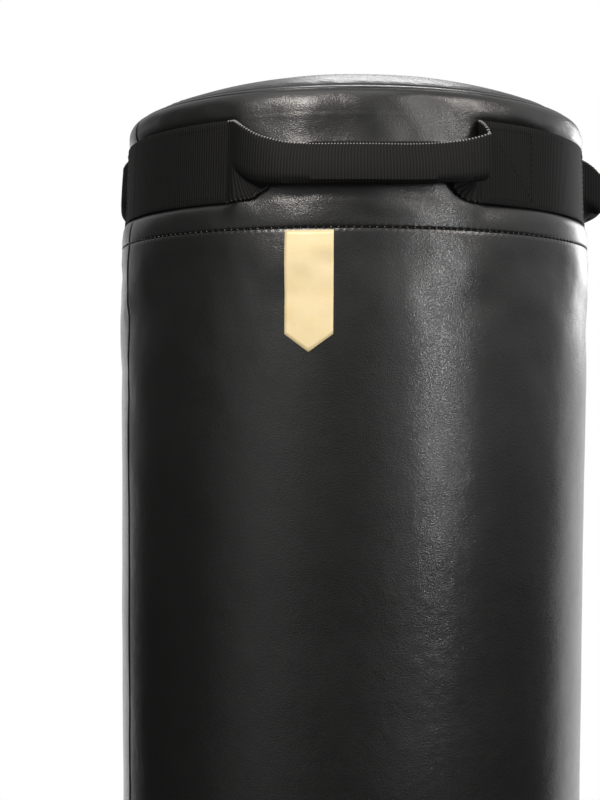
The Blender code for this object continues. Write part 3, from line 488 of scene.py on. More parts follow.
def turned_brass():
    """Turned brass: warm metal with the fine rings of the tool."""
    made, tree, shader = new_finish("turned brass", hex_colour("#c8a052"), {"Metallic": 1.0})
    place = add_node(tree, "TexCoord").outputs["Object"]
    rings = add_node(tree, "Mapping", {"Vector": place, "Scale": (1, 1, 8)})
    marks = add_node(tree, "TexNoise", {"Vector": rings, "Scale": cells(1), "Detail": 2})
    normal = add_node(tree, "Bump", {"Height": marks, "Distance": 0.0001, "Strength": 0.3})
    worn = add_node(tree, "MapRange", {0: marks, "To Min": 0.25, "To Max": 0.4})
    link_finish(tree, shader, Roughness=worn, Normal=normal)
    return made


def cast_urethane():
    """Cast polyurethane: hard, deep red, and scuffed where it turns in its cups."""
    made, tree, shader = new_finish("cast urethane", hex_colour("#8e2a1a"), {"Roughness": 0.35})
    place = add_node(tree, "TexCoord").outputs["Object"]
    scuff = add_node(tree, "TexNoise", {"Vector": place, "Scale": cells(5), "Detail": 5})
    worn = add_node(tree, "MapRange", {0: scuff, "To Min": 0.28, "To Max": 0.55})
    shades = {0: scuff, 6: hex_colour("#7f2416"), 7: hex_colour("#a23a26")}
    shade = add_node(tree, "Mix", shades, data_type="RGBA").outputs[2]
    link_finish(tree, shader, Base_Color=shade, Roughness=worn)
    return made


def birch_plywood():
    """Birch plywood: a pale face veneer with long grain, and 1.5 mm plies light and dark at the edge."""
    made, tree, shader = new_finish("birch plywood", hex_colour("#c39a63"), {"Roughness": 0.65})
    place = add_node(tree, "TexCoord").outputs["Object"]
    parts = add_node(tree, "SeparateXYZ", {0: place})
    turns = add_node(tree, "Math", {0: parts.outputs[2], 1: 2 * math.pi / PLY_PAIR}, operation="MULTIPLY")
    wave = add_node(tree, "Math", {0: turns}, operation="SINE")
    plies = add_node(tree, "MapRange", {0: wave, 1: -1, 2: 1})
    long = add_node(tree, "Mapping", {"Vector": place, "Scale": (0.08, 1, 1)})
    grain = add_node(tree, "TexNoise", {"Vector": long, "Scale": cells(4), "Detail": 5})
    both = add_node(tree, "Mix", {0: 0.5, 2: plies, 3: grain}, data_type="FLOAT")
    shades = {0: both, 6: hex_colour("#a87f4b"), 7: hex_colour("#d4b07c")}
    shade = add_node(tree, "Mix", shades, data_type="RGBA").outputs[2]
    normal = add_node(tree, "Bump", {"Height": grain, "Distance": 0.0003, "Strength": 0.2})
    link_finish(tree, shader, Base_Color=shade, Normal=normal)
    return made


def cut_foam(name, colour, width):
    """Cut foam: open cells, their hollows painted darker as painted shade."""
    made, tree, shader = new_finish(name, hex_colour(colour), {"Roughness": 0.9})
    place = add_node(tree, "TexCoord").outputs["Object"]
    holes = add_node(tree, "TexVoronoi", {"Vector": place, "Scale": cells(width)})
    normal = add_node(tree, "Bump", {"Height": holes, "Distance": 0.0008, "Strength": 0.6})
    # Painted shade: the hollows of the cells are painted darker
    shades = {0: holes, 6: darker(hex_colour(colour), 0.7), 7: hex_colour(colour)}
    shade = add_node(tree, "Mix", shades, data_type="RGBA").outputs[2]
    link_finish(tree, shader, Base_Color=shade, Normal=normal)
    return made


def still_water():
    """Ballast water: clear and faintly blue, with a smooth surface."""
    values = {"Roughness": 0.05, "IOR": 1.33, "Transmission Weight": 0.9}
    made, tree, shader = new_finish("ballast water", hex_colour("#a9c6d3"), values)
    place = add_node(tree, "TexCoord").outputs["Object"]
    ripple = add_node(tree, "TexNoise", {"Vector": place, "Scale": cells(50), "Detail": 2})
    normal = add_node(tree, "Bump", {"Height": ripple, "Distance": 0.001, "Strength": 0.1})
    link_finish(tree, shader, Normal=normal)
    return made


def finish(name, make, *values):
    """A material by its name, made once."""
    return bpy.data.materials.get(name) or make(*values)


def cover_leather(bag):
    return finish("grained PU leather", grained_leather, bag)


def tank_plastic(bag):
    return finish("moulded polyethylene", moulded_plastic, bag)


def neck_steel(bag):
    return finish("powder coated steel", powder_coat, bag)


def spring_steel():
    return finish("zinc plated steel", plated_steel)


# Shapes


def ring_point(radius, angle, height=0.0):
    """A point at an angle in degrees from the front, going towards +X."""
    turn = math.radians(angle)
    return Vector((radius * math.sin(turn), -radius * math.cos(turn), height))


def angle_of(point):
    """The angle in degrees of a point round the axis, from the front towards +X."""
    return math.degrees(math.atan2(point.x, -point.y))


def eased(share):
    """A smooth step from 0 to 1."""
    share = min(max(share, 0.0), 1.0)
    return share * share * (3 - 2 * share)


def arc(centre, radius, first, last, count):
    """Profile points on an arc, with its angles in degrees from +X towards +Z."""
    turns = [math.radians(first + (last - first) * n / count) for n in range(count + 1)]
    return [(centre[0] + radius * math.cos(turn), centre[1] + radius * math.sin(turn)) for turn in turns]


def spin_profile(shape, profile, steps, centre=(0, 0, 0)):
    """Spins a profile of (radius, height) points round a vertical axis."""
    verts = [shape.verts.new((centre[0] + radius, centre[1], height)) for radius, height in profile]
    edges = [shape.edges.new(pair) for pair in zip(verts, verts[1:])]
    bmesh.ops.spin(
        shape, geom=verts + edges, cent=centre, axis=(0, 0, 1), dvec=(0, 0, 0),
        angle=2 * math.pi, steps=steps, use_merge=True, use_duplicate=False,
    )
    bmesh.ops.remove_doubles(shape, verts=shape.verts, dist=0.000001)
    bmesh.ops.recalc_face_normals(shape, faces=shape.faces)


def round_edges(shape, edges, radius):
    bmesh.ops.bevel(
        shape, geom=edges, offset=radius, offset_type="OFFSET", affect="EDGES", segments=4, profile=0.5,
        material=-1,
    )


def make_object(name, shape, material, angle=40):
    """An object of the bag from a bmesh, shaded smooth but for its sharp edges."""
    mesh = bpy.data.meshes.new(name)
    shape.to_mesh(mesh)
    shape.free()
    mesh.shade_smooth()
    mesh.set_sharp_from_angle(angle=math.radians(angle))
    mesh.materials.append(material)
    made = bpy.data.objects.new(name, mesh)
    bpy.context.scene.collection.objects.link(made)
    return made


def turned(name, profile, material, steps=128, centre=(0, 0, 0), angle=40):
    shape = bmesh.new()
    spin_profile(shape, profile, steps, centre)
    return make_object(name, shape, material, angle)


def dressed(made, body, *nodes):
    """The piece moves with a body and stands for its nodes."""
    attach(made, body)
    if nodes:
        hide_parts(*nodes)
    return made


def thicken(made, wall):
    """A wall behind the outer side of a cover."""
    shell = made.modifiers.new("wall", "SOLIDIFY")
    shell.thickness = wall
    shell.offset = -1
    return made


def even_rows(start, end, step):
    """Heights from start to end, about a step apart."""
    count = max(1, round(abs(end - start) / step))
    return [start + (end - start) * n / count for n in range(1, count)]


def uneven(place, size, depth):
    return depth * noise.noise(place / size)


def settle(made, held, cap):
    """A short cloth simulation with pressure lets a cover settle on its filling.

    Held points stay, and no other moves further than cap."""
    scene = bpy.context.scene
    rest = [vertex.co.copy() for vertex in made.data.vertices]
    group = made.vertex_groups.new(name="held")
    group.add([vertex.index for vertex in made.data.vertices if held(vertex.co)], 1.0, "ADD")
    cloth = made.modifiers.new("settle", "CLOTH")
    cloth.settings.quality = 4
    cloth.settings.mass = 0.5
    cloth.settings.tension_stiffness = 25
    cloth.settings.compression_stiffness = 25
    cloth.settings.shear_stiffness = 10
    cloth.settings.bending_stiffness = 2
    cloth.settings.shrink_min = -0.006
    cloth.settings.use_pressure = True
    cloth.settings.uniform_pressure_force = 4
    cloth.settings.effector_weights.gravity = 0
    cloth.settings.vertex_group_mass = group.name
    cloth.collision_settings.use_collision = False
    cloth.point_cache.frame_start = 1
    cloth.point_cache.frame_end = SETTLE_FRAMES
    for number in range(1, SETTLE_FRAMES + 1):
        scene.frame_set(number)
    settled = made.evaluated_get(bpy.context.evaluated_depsgraph_get()).data
    moved = [vertex.co.copy() for vertex in settled.vertices]
    made.modifiers.remove(cloth)
    made.vertex_groups.remove(group)
    scene.frame_set(1)
    for vertex, old, new in zip(made.data.vertices, rest, moved):
        move = new - old
        if move.length > cap:
            move *= cap / move.length
        vertex.co = old + move


def smooth_line(points, count):
    """A Catmull-Rom line through points, with count steps between each pair."""
    ends = [2 * points[0] - points[1], *points, 2 * points[-1] - points[-2]]
    found = []
    for before, first, second, after in zip(ends, ends[1:], ends[2:], ends[3:]):
        for step in range(count):
            t = step / count
            curve = 2 * first + (second - before) * t + (2 * before - 5 * first + 4 * second - after) * t**2
            found.append(0.5 * (curve + (3 * first - before - 3 * second + after) * t**3))
    found.append(points[-1])
    return found


COLLAR_LINE = smooth_line([Vector(row) for row in COLLAR_ROWS], 3)


def collar_radius(height, free):
    """How far out the collar's leather lies at a height: free is 0 under the belt and 1 behind a handle."""
    up = height - SEAM_Z
    for low, high in zip(COLLAR_LINE, COLLAR_LINE[1:]):
        if low.x <= up <= high.x:
            _, tight, loose = low.lerp(high, (up - low.x) / (high.x - low.x))
            return tight + free * (loose - tight)
    return COLLAR_ROWS[0][1]


def freedom(angle):
    """1 where a handle leaves the leather free, and 0 where the belt holds it."""
    off = abs((angle + HANDLE_STEP / 2) % HANDLE_STEP - HANDLE_STEP / 2)
    return 1 - eased((off - HANDLE_FOOT + HANDLE_FREE) / HANDLE_FREE)


def waist(height):
    """How far the filling draws in between the firm ends of the body."""
    from_ends = eased((SEAM_Z - height) / WAIST_REACH) * eased((height - COVER_BOTTOM_Z) / WAIST_REACH)
    return WAIST_DEPTH * from_ends


def body_profile():
    """The body cover from the seam down to the bottom ring."""
    points = [(BAG_RADIUS - inward, SEAM_Z - down) for inward, down in BODY_EDGE]
    low = COVER_BOTTOM_Z + COVER_CORNER
    rows = even_rows(SEAM_Z - BODY_EDGE[-1][1], low, 0.009)
    points += [(BAG_RADIUS - waist(height), height) for height in rows]
    points += arc((BAG_RADIUS - COVER_CORNER, low), COVER_CORNER, 0, -90, 8)
    return points


def cut_at_seam(shape):
    """Edges along both sides of the vertical seam, so that it can sink."""
    for side in (-1.5, -0.5, 0.5, 1.5):
        square = ring_point(1, SEAM_ANGLE + SEAM_WIDTH * side + 90)
        geom = [*shape.verts, *shape.edges, *shape.faces]
        bmesh.ops.bisect_plane(shape, geom=geom, dist=0.00001, plane_co=(0, 0, 0), plane_no=square)


def in_seam(angle):
    return abs((angle - SEAM_ANGLE + 180) % 360 - 180) < SEAM_WIDTH


class BAG_OT_body_cover(bpy.types.Operator):
    """Makes the long leather tube of the body, with its vertical seam."""

    bl_idname = "bag.body_cover"
    bl_label = "Body cover"

    def execute(self, context):
        bag = context.scene.bag_finish
        shape = bmesh.new()
        spin_profile(shape, body_profile(), COVER_STEPS)
        cut_at_seam(shape)
        made = make_object("body_cover", shape, cover_leather(bag))
        settle(made, lambda point: not COVER_BOTTOM_Z + 0.02 <= point.z <= SEAM_Z - 0.008, BODY_SETTLE)
        for vertex in made.data.vertices:
            place = vertex.co
            flat = Vector((place.x, place.y, 0)).normalized()
            near = min(SEAM_Z - place.z, place.z - COVER_BOTTOM_Z)
            ease = eased(near / 0.03)
            move = ease * (uneven(place, 0.11, 0.0006) + uneven(place, 0.035, 0.00025))
            if in_seam(angle_of(place)):
                move -= BODY_SEAM_SINK
            vertex.co = place + flat * move
        thicken(made, COVER_WALL)
        dressed(made, "column", "body_panel")
        return {"FINISHED"}


def dome_height(reach):
    """The cap's height at a distance from the axis."""
    return DOME_TOP_Z - (DOME_TOP_Z - CAP_EDGE_Z - CAP_RISE) * (reach / CAP_EDGE_RADIUS) ** CAP_POWER


class BAG_OT_top_cover(bpy.types.Operator):
    """Makes the leather collar and the domed cap, with the ledge and the rolled lip along its edge."""

    bl_idname = "bag.top_cover"
    bl_label = "Collar and cap"

    def execute(self, context):
        bag = context.scene.bag_finish
        leather = cover_leather(bag)
        shape = bmesh.new()
        spin_profile(shape, [(tight, SEAM_Z + up) for up, tight, free in COLLAR_LINE], 240)
        cut_at_seam(shape)
        for vertex in shape.verts:
            self.shape_collar(vertex)
        collar = make_object("collar_cover", shape, leather)
        thicken(collar, COVER_WALL)
        dressed(collar, "column", "collar_panel")

        edge = CAP_EDGE_RADIUS
        profile = [(edge * n / CAP_ROWS, dome_height(edge * n / CAP_ROWS)) for n in range(CAP_ROWS - 2)]
        profile += [(edge - inward, dome_height(edge - inward) - down) for inward, down in CAP_FALL]
        profile += [(edge - inward, CAP_EDGE_Z + up) for inward, up in CAP_ROLL]
        shape = bmesh.new()
        spin_profile(shape, profile, COVER_STEPS)
        cap = make_object("cap_cover", shape, leather)
        settle(cap, lambda point: math.hypot(point.x, point.y) > edge - 0.009, CAP_SETTLE)
        for vertex in cap.data.vertices:
            reach = math.hypot(vertex.co.x, vertex.co.y)
            vertex.co.z += eased((edge - reach) / 0.02) * uneven(vertex.co, 0.05, 0.0006)
        thicken(cap, COVER_WALL)
        dressed(cap, "column", "top_cap")
        return {"FINISHED"}

    def shape_collar(self, vertex):
        """Lets the leather swell behind the handles, gather at the seams and sink at the vertical seam."""
        place = vertex.co
        angle = angle_of(place)
        reach = math.hypot(place.x, place.y)
        flat = Vector((place.x, place.y, 0)) / reach
        up = place.z - SEAM_Z
        free = freedom(angle)
        move = 0.0
        if 0.001 < up < 0.0745:
            move += collar_radius(place.z, free) - collar_radius(place.z, 0)
        if 0.002 < up < 0.080:
            ease = eased((up - 0.002) / 0.012) * eased((0.081 - up) / 0.006)
            loose = max(free, eased((up - 0.068) / 0.006), eased((0.012 - up) / 0.006))
            slanted = Vector((place.x, place.y, place.z + 0.5 * place.x))
            move += ease * (uneven(place, 0.034, 0.0008) + loose * uneven(slanted, 0.021, 0.0009))
        if in_seam(angle) and up < 0.079:
            move -= COLLAR_SEAM_SINK
        vertex.co = place + flat * move


# Webbing


def strip_section(width, thickness):
    """Points (across, out) round a flat strip with rounded edges, from its outer face's top."""
    half = thickness / 2
    side = width / 2 - half
    rows = 18
    front = [(side - 2 * side * n / rows, half) for n in range(rows + 1)]
    turns = [math.radians(turn) for turn in (45, 90, 135)]
    low = [(-side - half * math.sin(turn), half * math.cos(turn)) for turn in turns]
    back = [(-across, -out) for across, out in front]
    high = [(-across, -out) for across, out in low]
    return front + low + back + high


def make_strip(name, length, columns, place, bead, painted_glint, bag):
    """Webbing on a surface: place gives its middle at (along, across).

    Beads run along its two selvages. The argument after bead is how far past the selvage the upper beads'
    pattern reads, and the further it reads, the lighter they are painted, as a painted glint."""
    section = strip_section(WEBBING_WIDTH, WEBBING_THICKNESS)
    rows = len(section)
    shape = bmesh.new()
    bmesh.ops.create_grid(shape, x_segments=columns, y_segments=rows, size=0.5)
    layer = shape.loops.layers.uv.new("UVMap")
    spots = {}
    for vertex in shape.verts:
        spots[vertex] = ((vertex.co.x + 0.5) * length, round((vertex.co.y + 0.5) * rows))
    for face in shape.faces:
        for loop in face.loops:
            along, row = spots[loop.vert]
            loop[layer].uv = (along / bag.rib_pitch, section[row % rows][0])
    for vertex, (along, row) in spots.items():
        vertex.co = offset_point(place, along, *section[row % rows])
    bmesh.ops.remove_doubles(shape, verts=shape.verts, dist=0.000001)
    bmesh.ops.holes_fill(shape, edges=[edge for edge in shape.edges if edge.is_boundary])
    bmesh.ops.recalc_face_normals(shape, faces=shape.faces)
    across = WEBBING_WIDTH / 2 - SELVAGE_INSET
    for n in range(int(length / bag.rib_pitch)):
        for side in (-across, across):
            along = (n + 0.5) * bag.rib_pitch
            spot = place(along, side)
            run = place(along + 0.0003, side) - place(along - 0.0003, side)
            verts = add_stitch(shape, spot, run, place(along, 0) - spot, (SELVAGE_BEAD, bead))
            for loop in {loop for vertex in verts for loop in vertex.link_loops}:
                # The upper beads' pattern is pushed past the selvage to paint them lighter, a painted glint
                # of the lamps above
                loop[layer].uv = (n + 0.25, WEBBING_WIDTH / 2 + (painted_glint if side > 0 else 0.0001))
    nylon = finish("ribbed nylon webbing", ribbed_webbing, bag)
    return make_object(name, shape, nylon, 60)


def offset_point(place, along, across, out):
    """A point beside a surface, square to it."""
    step = 0.0002
    run = place(along + step, across) - place(along - step, across)
    rise = place(along, across + step) - place(along, across - step)
    return place(along, across) + run.cross(rise).normalized() * out


def belt_place(first):
    """The sewn belt's middle surface, from an angle on."""
    radius = WEBBING_RADIUS - WEBBING_THICKNESS / 2

    def place(along, across):
        angle = first + math.degrees(along / radius)
        lean = BELT_LEAN * (across / WEBBING_WIDTH + 0.5)
        return ring_point(radius - lean, angle, BELT_Z + across)

    return place


class BAG_OT_belt(bpy.types.Operator):
    """Makes the sewn stretches of the webbing belt, one of which is sewn into the vertical seam."""

    bl_idname = "bag.belt"
    bl_label = "Belt"

    def execute(self, context):
        bag = context.scene.bag_finish
        seam = SEAM_ANGLE + 360
        spans = [(HANDLE_STEP * n + HANDLE_FOOT, HANDLE_STEP * (n + 1) - HANDLE_FOOT) for n in range(3)]
        last = spans.pop()
        spans += [(last[0], seam - BELT_SEAM_GAP), (seam + BELT_SEAM_GAP, last[1])]
        for number, (first, end) in enumerate(spans, 1):
            length = math.radians(end - first) * (WEBBING_RADIUS - WEBBING_THICKNESS / 2)
            made = make_strip(f"belt_webbing_{number}", length, 64, belt_place(first), 0.0016, 0.0001, bag)
            dressed(made, "column", *[f"belt_{number}"][:4 - number])
        return {"FINISHED"}


class HandleShape:
    """One handle's middle surface: it leaves the belt flat, and along the grip it is folded in two."""

    def __init__(self, middle, side):
        self.middle = middle
        self.side = side
        self.line = smooth_line([ring_point(radius, angle) for angle, radius, *rest in HANDLE_STATIONS], 12)
        self.form = smooth_line([Vector(station[2:]) for station in HANDLE_STATIONS], 12)
        self.runs = [0.0]
        for one, two in zip(self.line, self.line[1:]):
            self.runs.append(self.runs[-1] + (two - one).length)
        self.length = self.runs[-1]

    def run_at(self, angle):
        """How far along the line an angle is first reached."""
        return next(run for point, run in zip(self.line, self.runs) if angle_of(point) >= angle)

    def station(self, along):
        """The point of the line in plan, its outward normal, and the fold's height, turn and lean."""
        along = min(max(along, 0.0), self.length - 0.000001)
        low = bisect.bisect_right(self.runs, along) - 1
        share = (along - self.runs[low]) / (self.runs[low + 1] - self.runs[low])
        point = self.line[low].lerp(self.line[low + 1], share)
        run = (self.line[min(low + 3, len(self.line) - 1)] - self.line[max(low - 2, 0)]).normalized()
        return point, Vector((run.y, -run.x, 0)), self.form[low].lerp(self.form[low + 1], share)

    def place(self, along, across):
        """A point of the webbing's middle surface, which keeps off the leather."""
        point, outward, (height, turn, lean) = self.station(along)
        folded = min(max(turn / FULL_TURN, 0), 1)
        crease = FOLD_OFFSET * folded
        if across >= crease:
            bend = math.radians(max(lean, 0.1)) / (WEBBING_WIDTH / 2 - crease)
            inward = (1 - math.cos(bend * (across - crease))) / bend
            height += math.sin(bend * (across - crease)) / bend
        else:
            radius = OPEN_FOLD_RADIUS + (FOLD_RADIUS - OPEN_FOLD_RADIUS) * folded
            turn = math.radians(max(turn, 0))
            curl = min(crease - across, radius * turn)
            rest = crease - across - curl
            inward = radius * (1 - math.cos(curl / radius)) + rest * math.sin(turn)
            height -= radius * math.sin(curl / radius) + rest * math.cos(turn)
        inward += BELT_LEAN * (across / WEBBING_WIDTH + 0.5) * (1 - folded)
        found = point - outward * inward
        found.z = BELT_LOW_Z + height
        least = collar_radius(found.z, freedom(angle_of(found))) + WEBBING_OFF_LEATHER
        reach = max(math.hypot(found.x, found.y), least)
        return ring_point(reach, angle_of(found) * self.side + self.middle, found.z)


class BAG_OT_handles(bpy.types.Operator):
    """Makes the three carrying handles, each one folded strip of webbing that bends at its ends."""

    bl_idname = "bag.handles"
    bl_label = "Handles"

    def execute(self, context):
        bag = context.scene.bag_finish
        for number, side in HANDLE_SIDES:
            strip = HandleShape(HANDLE_STEP * (number - 1), side)
            name = f"handle_webbing_{number}"
            # 0.001 paints the handles' upper beads pale grey, a painted glint of the lamps above
            made = make_strip(name, strip.length, 260, strip.place, 0.0022, 0.001, bag)
            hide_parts(*[f"handle_{number}_{part}" for part in ("grip", "web_left", "web_right")])
            follow_handle(made)
        return {"FINISHED"}


def follow_handle(made):
    """Bakes the piece's place into its mesh."""
    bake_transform(made)


# Thread


def add_stitch(shape, place, run, outward, size):
    """One stitch: a small ellipsoid along run. size is its length and thickness."""
    length, thick = size
    side = outward.cross(run).normalized()
    out = run.cross(side).normalized()
    turn = Matrix((run.normalized(), side, out)).transposed().to_4x4()
    scale = Matrix.Diagonal((length / 2, thick / 2, thick / 2.4, 1))
    return bmesh.ops.create_icosphere(
        shape, subdivisions=1, radius=1, matrix=Matrix.Translation(place) @ turn @ scale
    )["verts"]


def stitch_line(shape, place, start, end, pitch, size):
    """Stitches between two (angle, height) spots of a surface. place gives the point of a spot."""
    first = place(*start)
    last = place(*end)
    arc_length = math.radians(abs(end[0] - start[0])) * math.hypot(first.x, first.y)
    count = max(1, round(math.hypot(arc_length, last.z - first.z) / pitch))
    for n in range(count):
        here = (n + 0.5) / count
        before, middle, after = [
            place(*[one + (two - one) * share for one, two in zip(start, end)])
            for share in (here - 0.01, here, here + 0.01)
        ]
        outward = Vector((middle.x, middle.y, 0)).normalized()
        add_stitch(shape, middle, (after - before).normalized(), outward, size)


def stitch_ring(radius, height, pitch, size, first=0):
    """A new shape with stitches all round the bag, from an angle on."""
    shape = bmesh.new()
    start, end = (first, height), (360 + first, height)
    stitch_line(shape, lambda angle, high: ring_point(radius, angle, high), start, end, pitch, size)
    return shape


class BAG_OT_stitching(bpy.types.Operator):
    """Sews the lower seam with its puckers, the cap's topstitch, and the boxes at the handles' ends."""

    bl_idname = "bag.stitching"
    bl_label = "Stitching"

    def execute(self, context):
        bag = context.scene.bag_finish
        thread = finish("bonded thread", bonded_thread, bag)
        height = SEAM_Z + SEAM_RISE
        seam = stitch_ring(BAG_RADIUS - SEAM_STITCH_SINK, height, bag.seam_pitch, SEAM_STITCH)
        dressed(make_object("lower_seam_thread", seam, thread), "column")

        half = math.degrees(bag.seam_pitch / BAG_RADIUS) / 2
        gathers = stitch_ring(BAG_RADIUS - PUCKER_SINK, height, bag.seam_pitch, PUCKER, half)
        leather = cover_leather(bag)
        dressed(make_object("lower_seam_puckers", gathers, leather, 80), "column")

        height = CAP_EDGE_Z + CAP_STITCH_RISE
        top = stitch_ring(CAP_EDGE_RADIUS - CAP_STITCH_INSET, height, bag.cap_pitch, CAP_STITCH)
        dressed(make_object("cap_thread", top, thread), "column")

        boxes = bmesh.new()
        for middle in range(0, 360, HANDLE_STEP):
            for side in (-1, 1):
                self.sew_box(boxes, middle, side, bag)
        dressed(make_object("box_thread", boxes, thread), "column")
        return {"FINISHED"}

    def sew_box(self, shape, middle, side, bag):
        """A stitched box with a slanted line across it, where a handle's end is sewn to the bag."""
        def place(angle, height):
            lean = BELT_LEAN * (height - BELT_LOW_Z) / WEBBING_WIDTH
            return ring_point(WEBBING_RADIUS - lean, middle + side * angle, height)

        near, far = BOX_ANGLES
        low, high = BELT_LOW_Z + BOX_MARGIN, BELT_HIGH_Z - BOX_MARGIN
        corners = [(near, low), (far, low), (far, high), (near, high)]
        slant = ((near, high), (far, low)) if side > 0 else ((far, high), (near, low))
        lines = [*zip(corners, corners[1:] + corners[:1]), slant]
        for start, end in lines:
            stitch_line(shape, place, start, end, bag.box_pitch, BOX_STITCH)


class BAG_OT_tacks(bpy.types.Operator):
    """Sews the small tacks that hold each grip folded."""

    bl_idname = "bag.tacks"
    bl_label = "Grip tacks"

    def execute(self, context):
        bag = context.scene.bag_finish
        thread = finish("bonded thread", bonded_thread, bag)
        for number, side in HANDLE_SIDES:
            strip = HandleShape(HANDLE_STEP * (number - 1), side)
            shape = bmesh.new()
            for along in [strip.run_at(angle) for angle in TACK_ANGLES]:
                for across in TACK_ROWS:
                    place = offset_point(strip.place, along, across, WEBBING_THICKNESS / 2)
                    above = offset_point(strip.place, along, across + 0.001, WEBBING_THICKNESS / 2)
                    add_stitch(shape, place, above - place, Vector((place.x, place.y, 0)), TACK_STITCH)
            follow_handle(make_object(f"handle_tacks_{number}", shape, thread))
        return {"FINISHED"}


class BAG_OT_stripe(bpy.types.Operator):
    """Lays the foil stripe with its pointed end on the body."""

    bl_idname = "bag.stripe"
    bl_label = "Foil stripe"

    def execute(self, context):
        bag = context.scene.bag_finish
        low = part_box("foil_stripe")[0].z
        left, right = STRIPE_SIDES
        cover = bpy.data.objects["body_cover"]
        graph = context.evaluated_depsgraph_get()
        shape = bmesh.new()
        bmesh.ops.create_grid(shape, x_segments=16, y_segments=24, size=0.5)
        for vertex in shape.verts:
            across = vertex.co.x + 0.5
            up = vertex.co.y + 0.5
            bottom = low + STRIPE_POINT * abs(2 * across - 1)
            height = bottom + (SEAM_Z - STRIPE_BELOW_SEAM - bottom) * up
            away = ring_point(1, left + (right - left) * across)
            start = away * 0.2 + Vector((0, 0, height))
            found, place, *rest = cover.ray_cast(start, -away, depsgraph=graph)
            if not found:
                raise RuntimeError("the stripe found no cover to lie on")
            vertex.co = place + away * STRIPE_PROUD
        bmesh.ops.recalc_face_normals(shape, faces=shape.faces)
        made = make_object("stripe_film", shape, finish("matt gold foil", gold_foil, bag))
        if made.data.polygons[0].normal.y > 0:
            made.data.flip_normals()
        thicken(made, STRIPE_FILM)
        dressed(made, "column", "foil_stripe")
        return {"FINISHED"}


# Base and neck


class BAG_OT_tank(bpy.types.Operator):
    """Makes the blow-moulded tank with its foot, shoulder and filler boss."""

    bl_idname = "bag.tank"
    bl_label = "Tank"

    def execute(self, context):
        bag = context.scene.bag_finish
        plastic = tank_plastic(bag)
        wall = TANK_RADIUS - TANK_FOOT_STEP
        foot_top = TANK_FLOOR_Z + TANK_FOOT_HEIGHT
        shoulder = (wall - TANK_WALL_LEAN - TANK_SHOULDER, TANK_TOP_Z - TANK_SHOULDER_DROP)
        foot_low = (TANK_RADIUS - TANK_FOOT_ROUND, TANK_FLOOR_Z + TANK_FOOT_ROUND)
        profile = [(radius, TANK_TOP_Z - drop) for radius, drop in TANK_DECK]
        profile += arc(shoulder, TANK_SHOULDER, 76, 0, 12)
        profile += [(wall - 0.0015, foot_top + 0.014), (wall + 0.0005, foot_top + 0.0095)]
        profile += [(TANK_RADIUS - 0.003, foot_top + 0.0025), (TANK_RADIUS - 0.0006, foot_top - 0.0008)]
        profile += [(TANK_RADIUS, foot_top - 0.004)]
        profile += arc(foot_low, TANK_FOOT_ROUND, 0, -90, 8)
        profile += [(0, TANK_FLOOR_Z)]
        tank = turned("tank_shell", profile, plastic, 160)
        dressed(tank, "base", "base_tank")
        outline = [(radius, FILLER_TOP_Z - drop) for radius, drop in FILLER_OUTLINE]
        ring = outline + outline[:1]
        neck = turned("filler_neck", ring, plastic, 96, (0, FILLER_Y, 0))
        dressed(neck, "base")
        return {"FINISHED"}


class BAG_OT_filler_cap(bpy.types.Operator):
    """Makes the screw cap with its grips and bar, and its seal."""

    bl_idname = "bag.filler_cap"
    bl_label = "Filler cap"

    def execute(self, context):
        bag = context.scene.bag_finish
        low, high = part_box("filler_cap")
        seal_low, seal_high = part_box("cap_seal")
        middle = (low.y + high.y) / 2
        top = high.z - BAR_RISE
        rim = seal_high.z + SCREW_CAP_GAP
        shape = bmesh.new()
        self.make_disc(shape, middle, rim, top)
        bmesh.ops.create_cone(
            shape, cap_ends=True, segments=64, radius1=PLUG_TIP_RADIUS, radius2=PLUG_TOP_RADIUS,
            depth=PLUG_DEPTH, matrix=Matrix.Translation((0, middle, rim - PLUG_DEPTH / 2)),
        )
        self.make_bar(shape, Vector((0, middle, top + BAR_RISE - BAR_WIDTH / 2)))
        bmesh.ops.recalc_face_normals(shape, faces=shape.faces)
        cap = make_object("screw_cap", shape, tank_plastic(bag))
        dressed(cap, "cap", "filler_cap")
        outer, inner = SEAL_OUTER - SEAL_ROUND, SEAL_INNER + SEAL_ROUND
        half = (seal_low.z + seal_high.z) / 2
        ring = [(outer, seal_high.z), (SEAL_OUTER, half), (outer, seal_low.z)]
        ring += [(inner, seal_low.z), (SEAL_INNER, half), (inner, seal_high.z)]
        rubber = finish("black rubber", black_rubber)
        seal = turned("seal_ring", ring + ring[:1], rubber, 96, (0, middle, 0))
        dressed(seal, "cap_lift", "cap_seal")
        return {"FINISHED"}

    def make_disc(self, shape, middle, rim, top):
        """The cap's round body, with its grips."""
        bmesh.ops.create_circle(shape, cap_ends=True, segments=128, radius=SCREW_CAP_RADIUS)
        for vertex in shape.verts:
            wave = abs(math.sin(GRIP_COUNT / 2 * math.atan2(vertex.co.y, vertex.co.x)))
            vertex.co = vertex.co * (1 - GRIP_DEPTH * (1 - wave) ** 3) + Vector((0, middle, rim))
        raised = bmesh.ops.extrude_face_region(shape, geom=list(shape.faces))["geom"]
        verts = [item for item in raised if isinstance(item, bmesh.types.BMVert)]
        bmesh.ops.translate(shape, vec=(0, 0, top - rim), verts=verts)
        edges = [edge for edge in shape.edges if all(vertex.co.z > top - 0.0001 for vertex in edge.verts)]
        round_edges(shape, edges, SCREW_CAP_ROUND)

    def make_bar(self, shape, centre):
        """The bar across the cap that fingers turn it by."""
        verts = bmesh.ops.create_cube(shape, size=1, matrix=Matrix.Translation(centre))["verts"]
        size = (BAR_LENGTH, BAR_WIDTH, BAR_WIDTH)
        bmesh.ops.scale(shape, vec=size, space=Matrix.Translation(-centre), verts=verts)
        round_edges(shape, list({edge for vertex in verts for edge in vertex.link_edges}), BAR_ROUND)


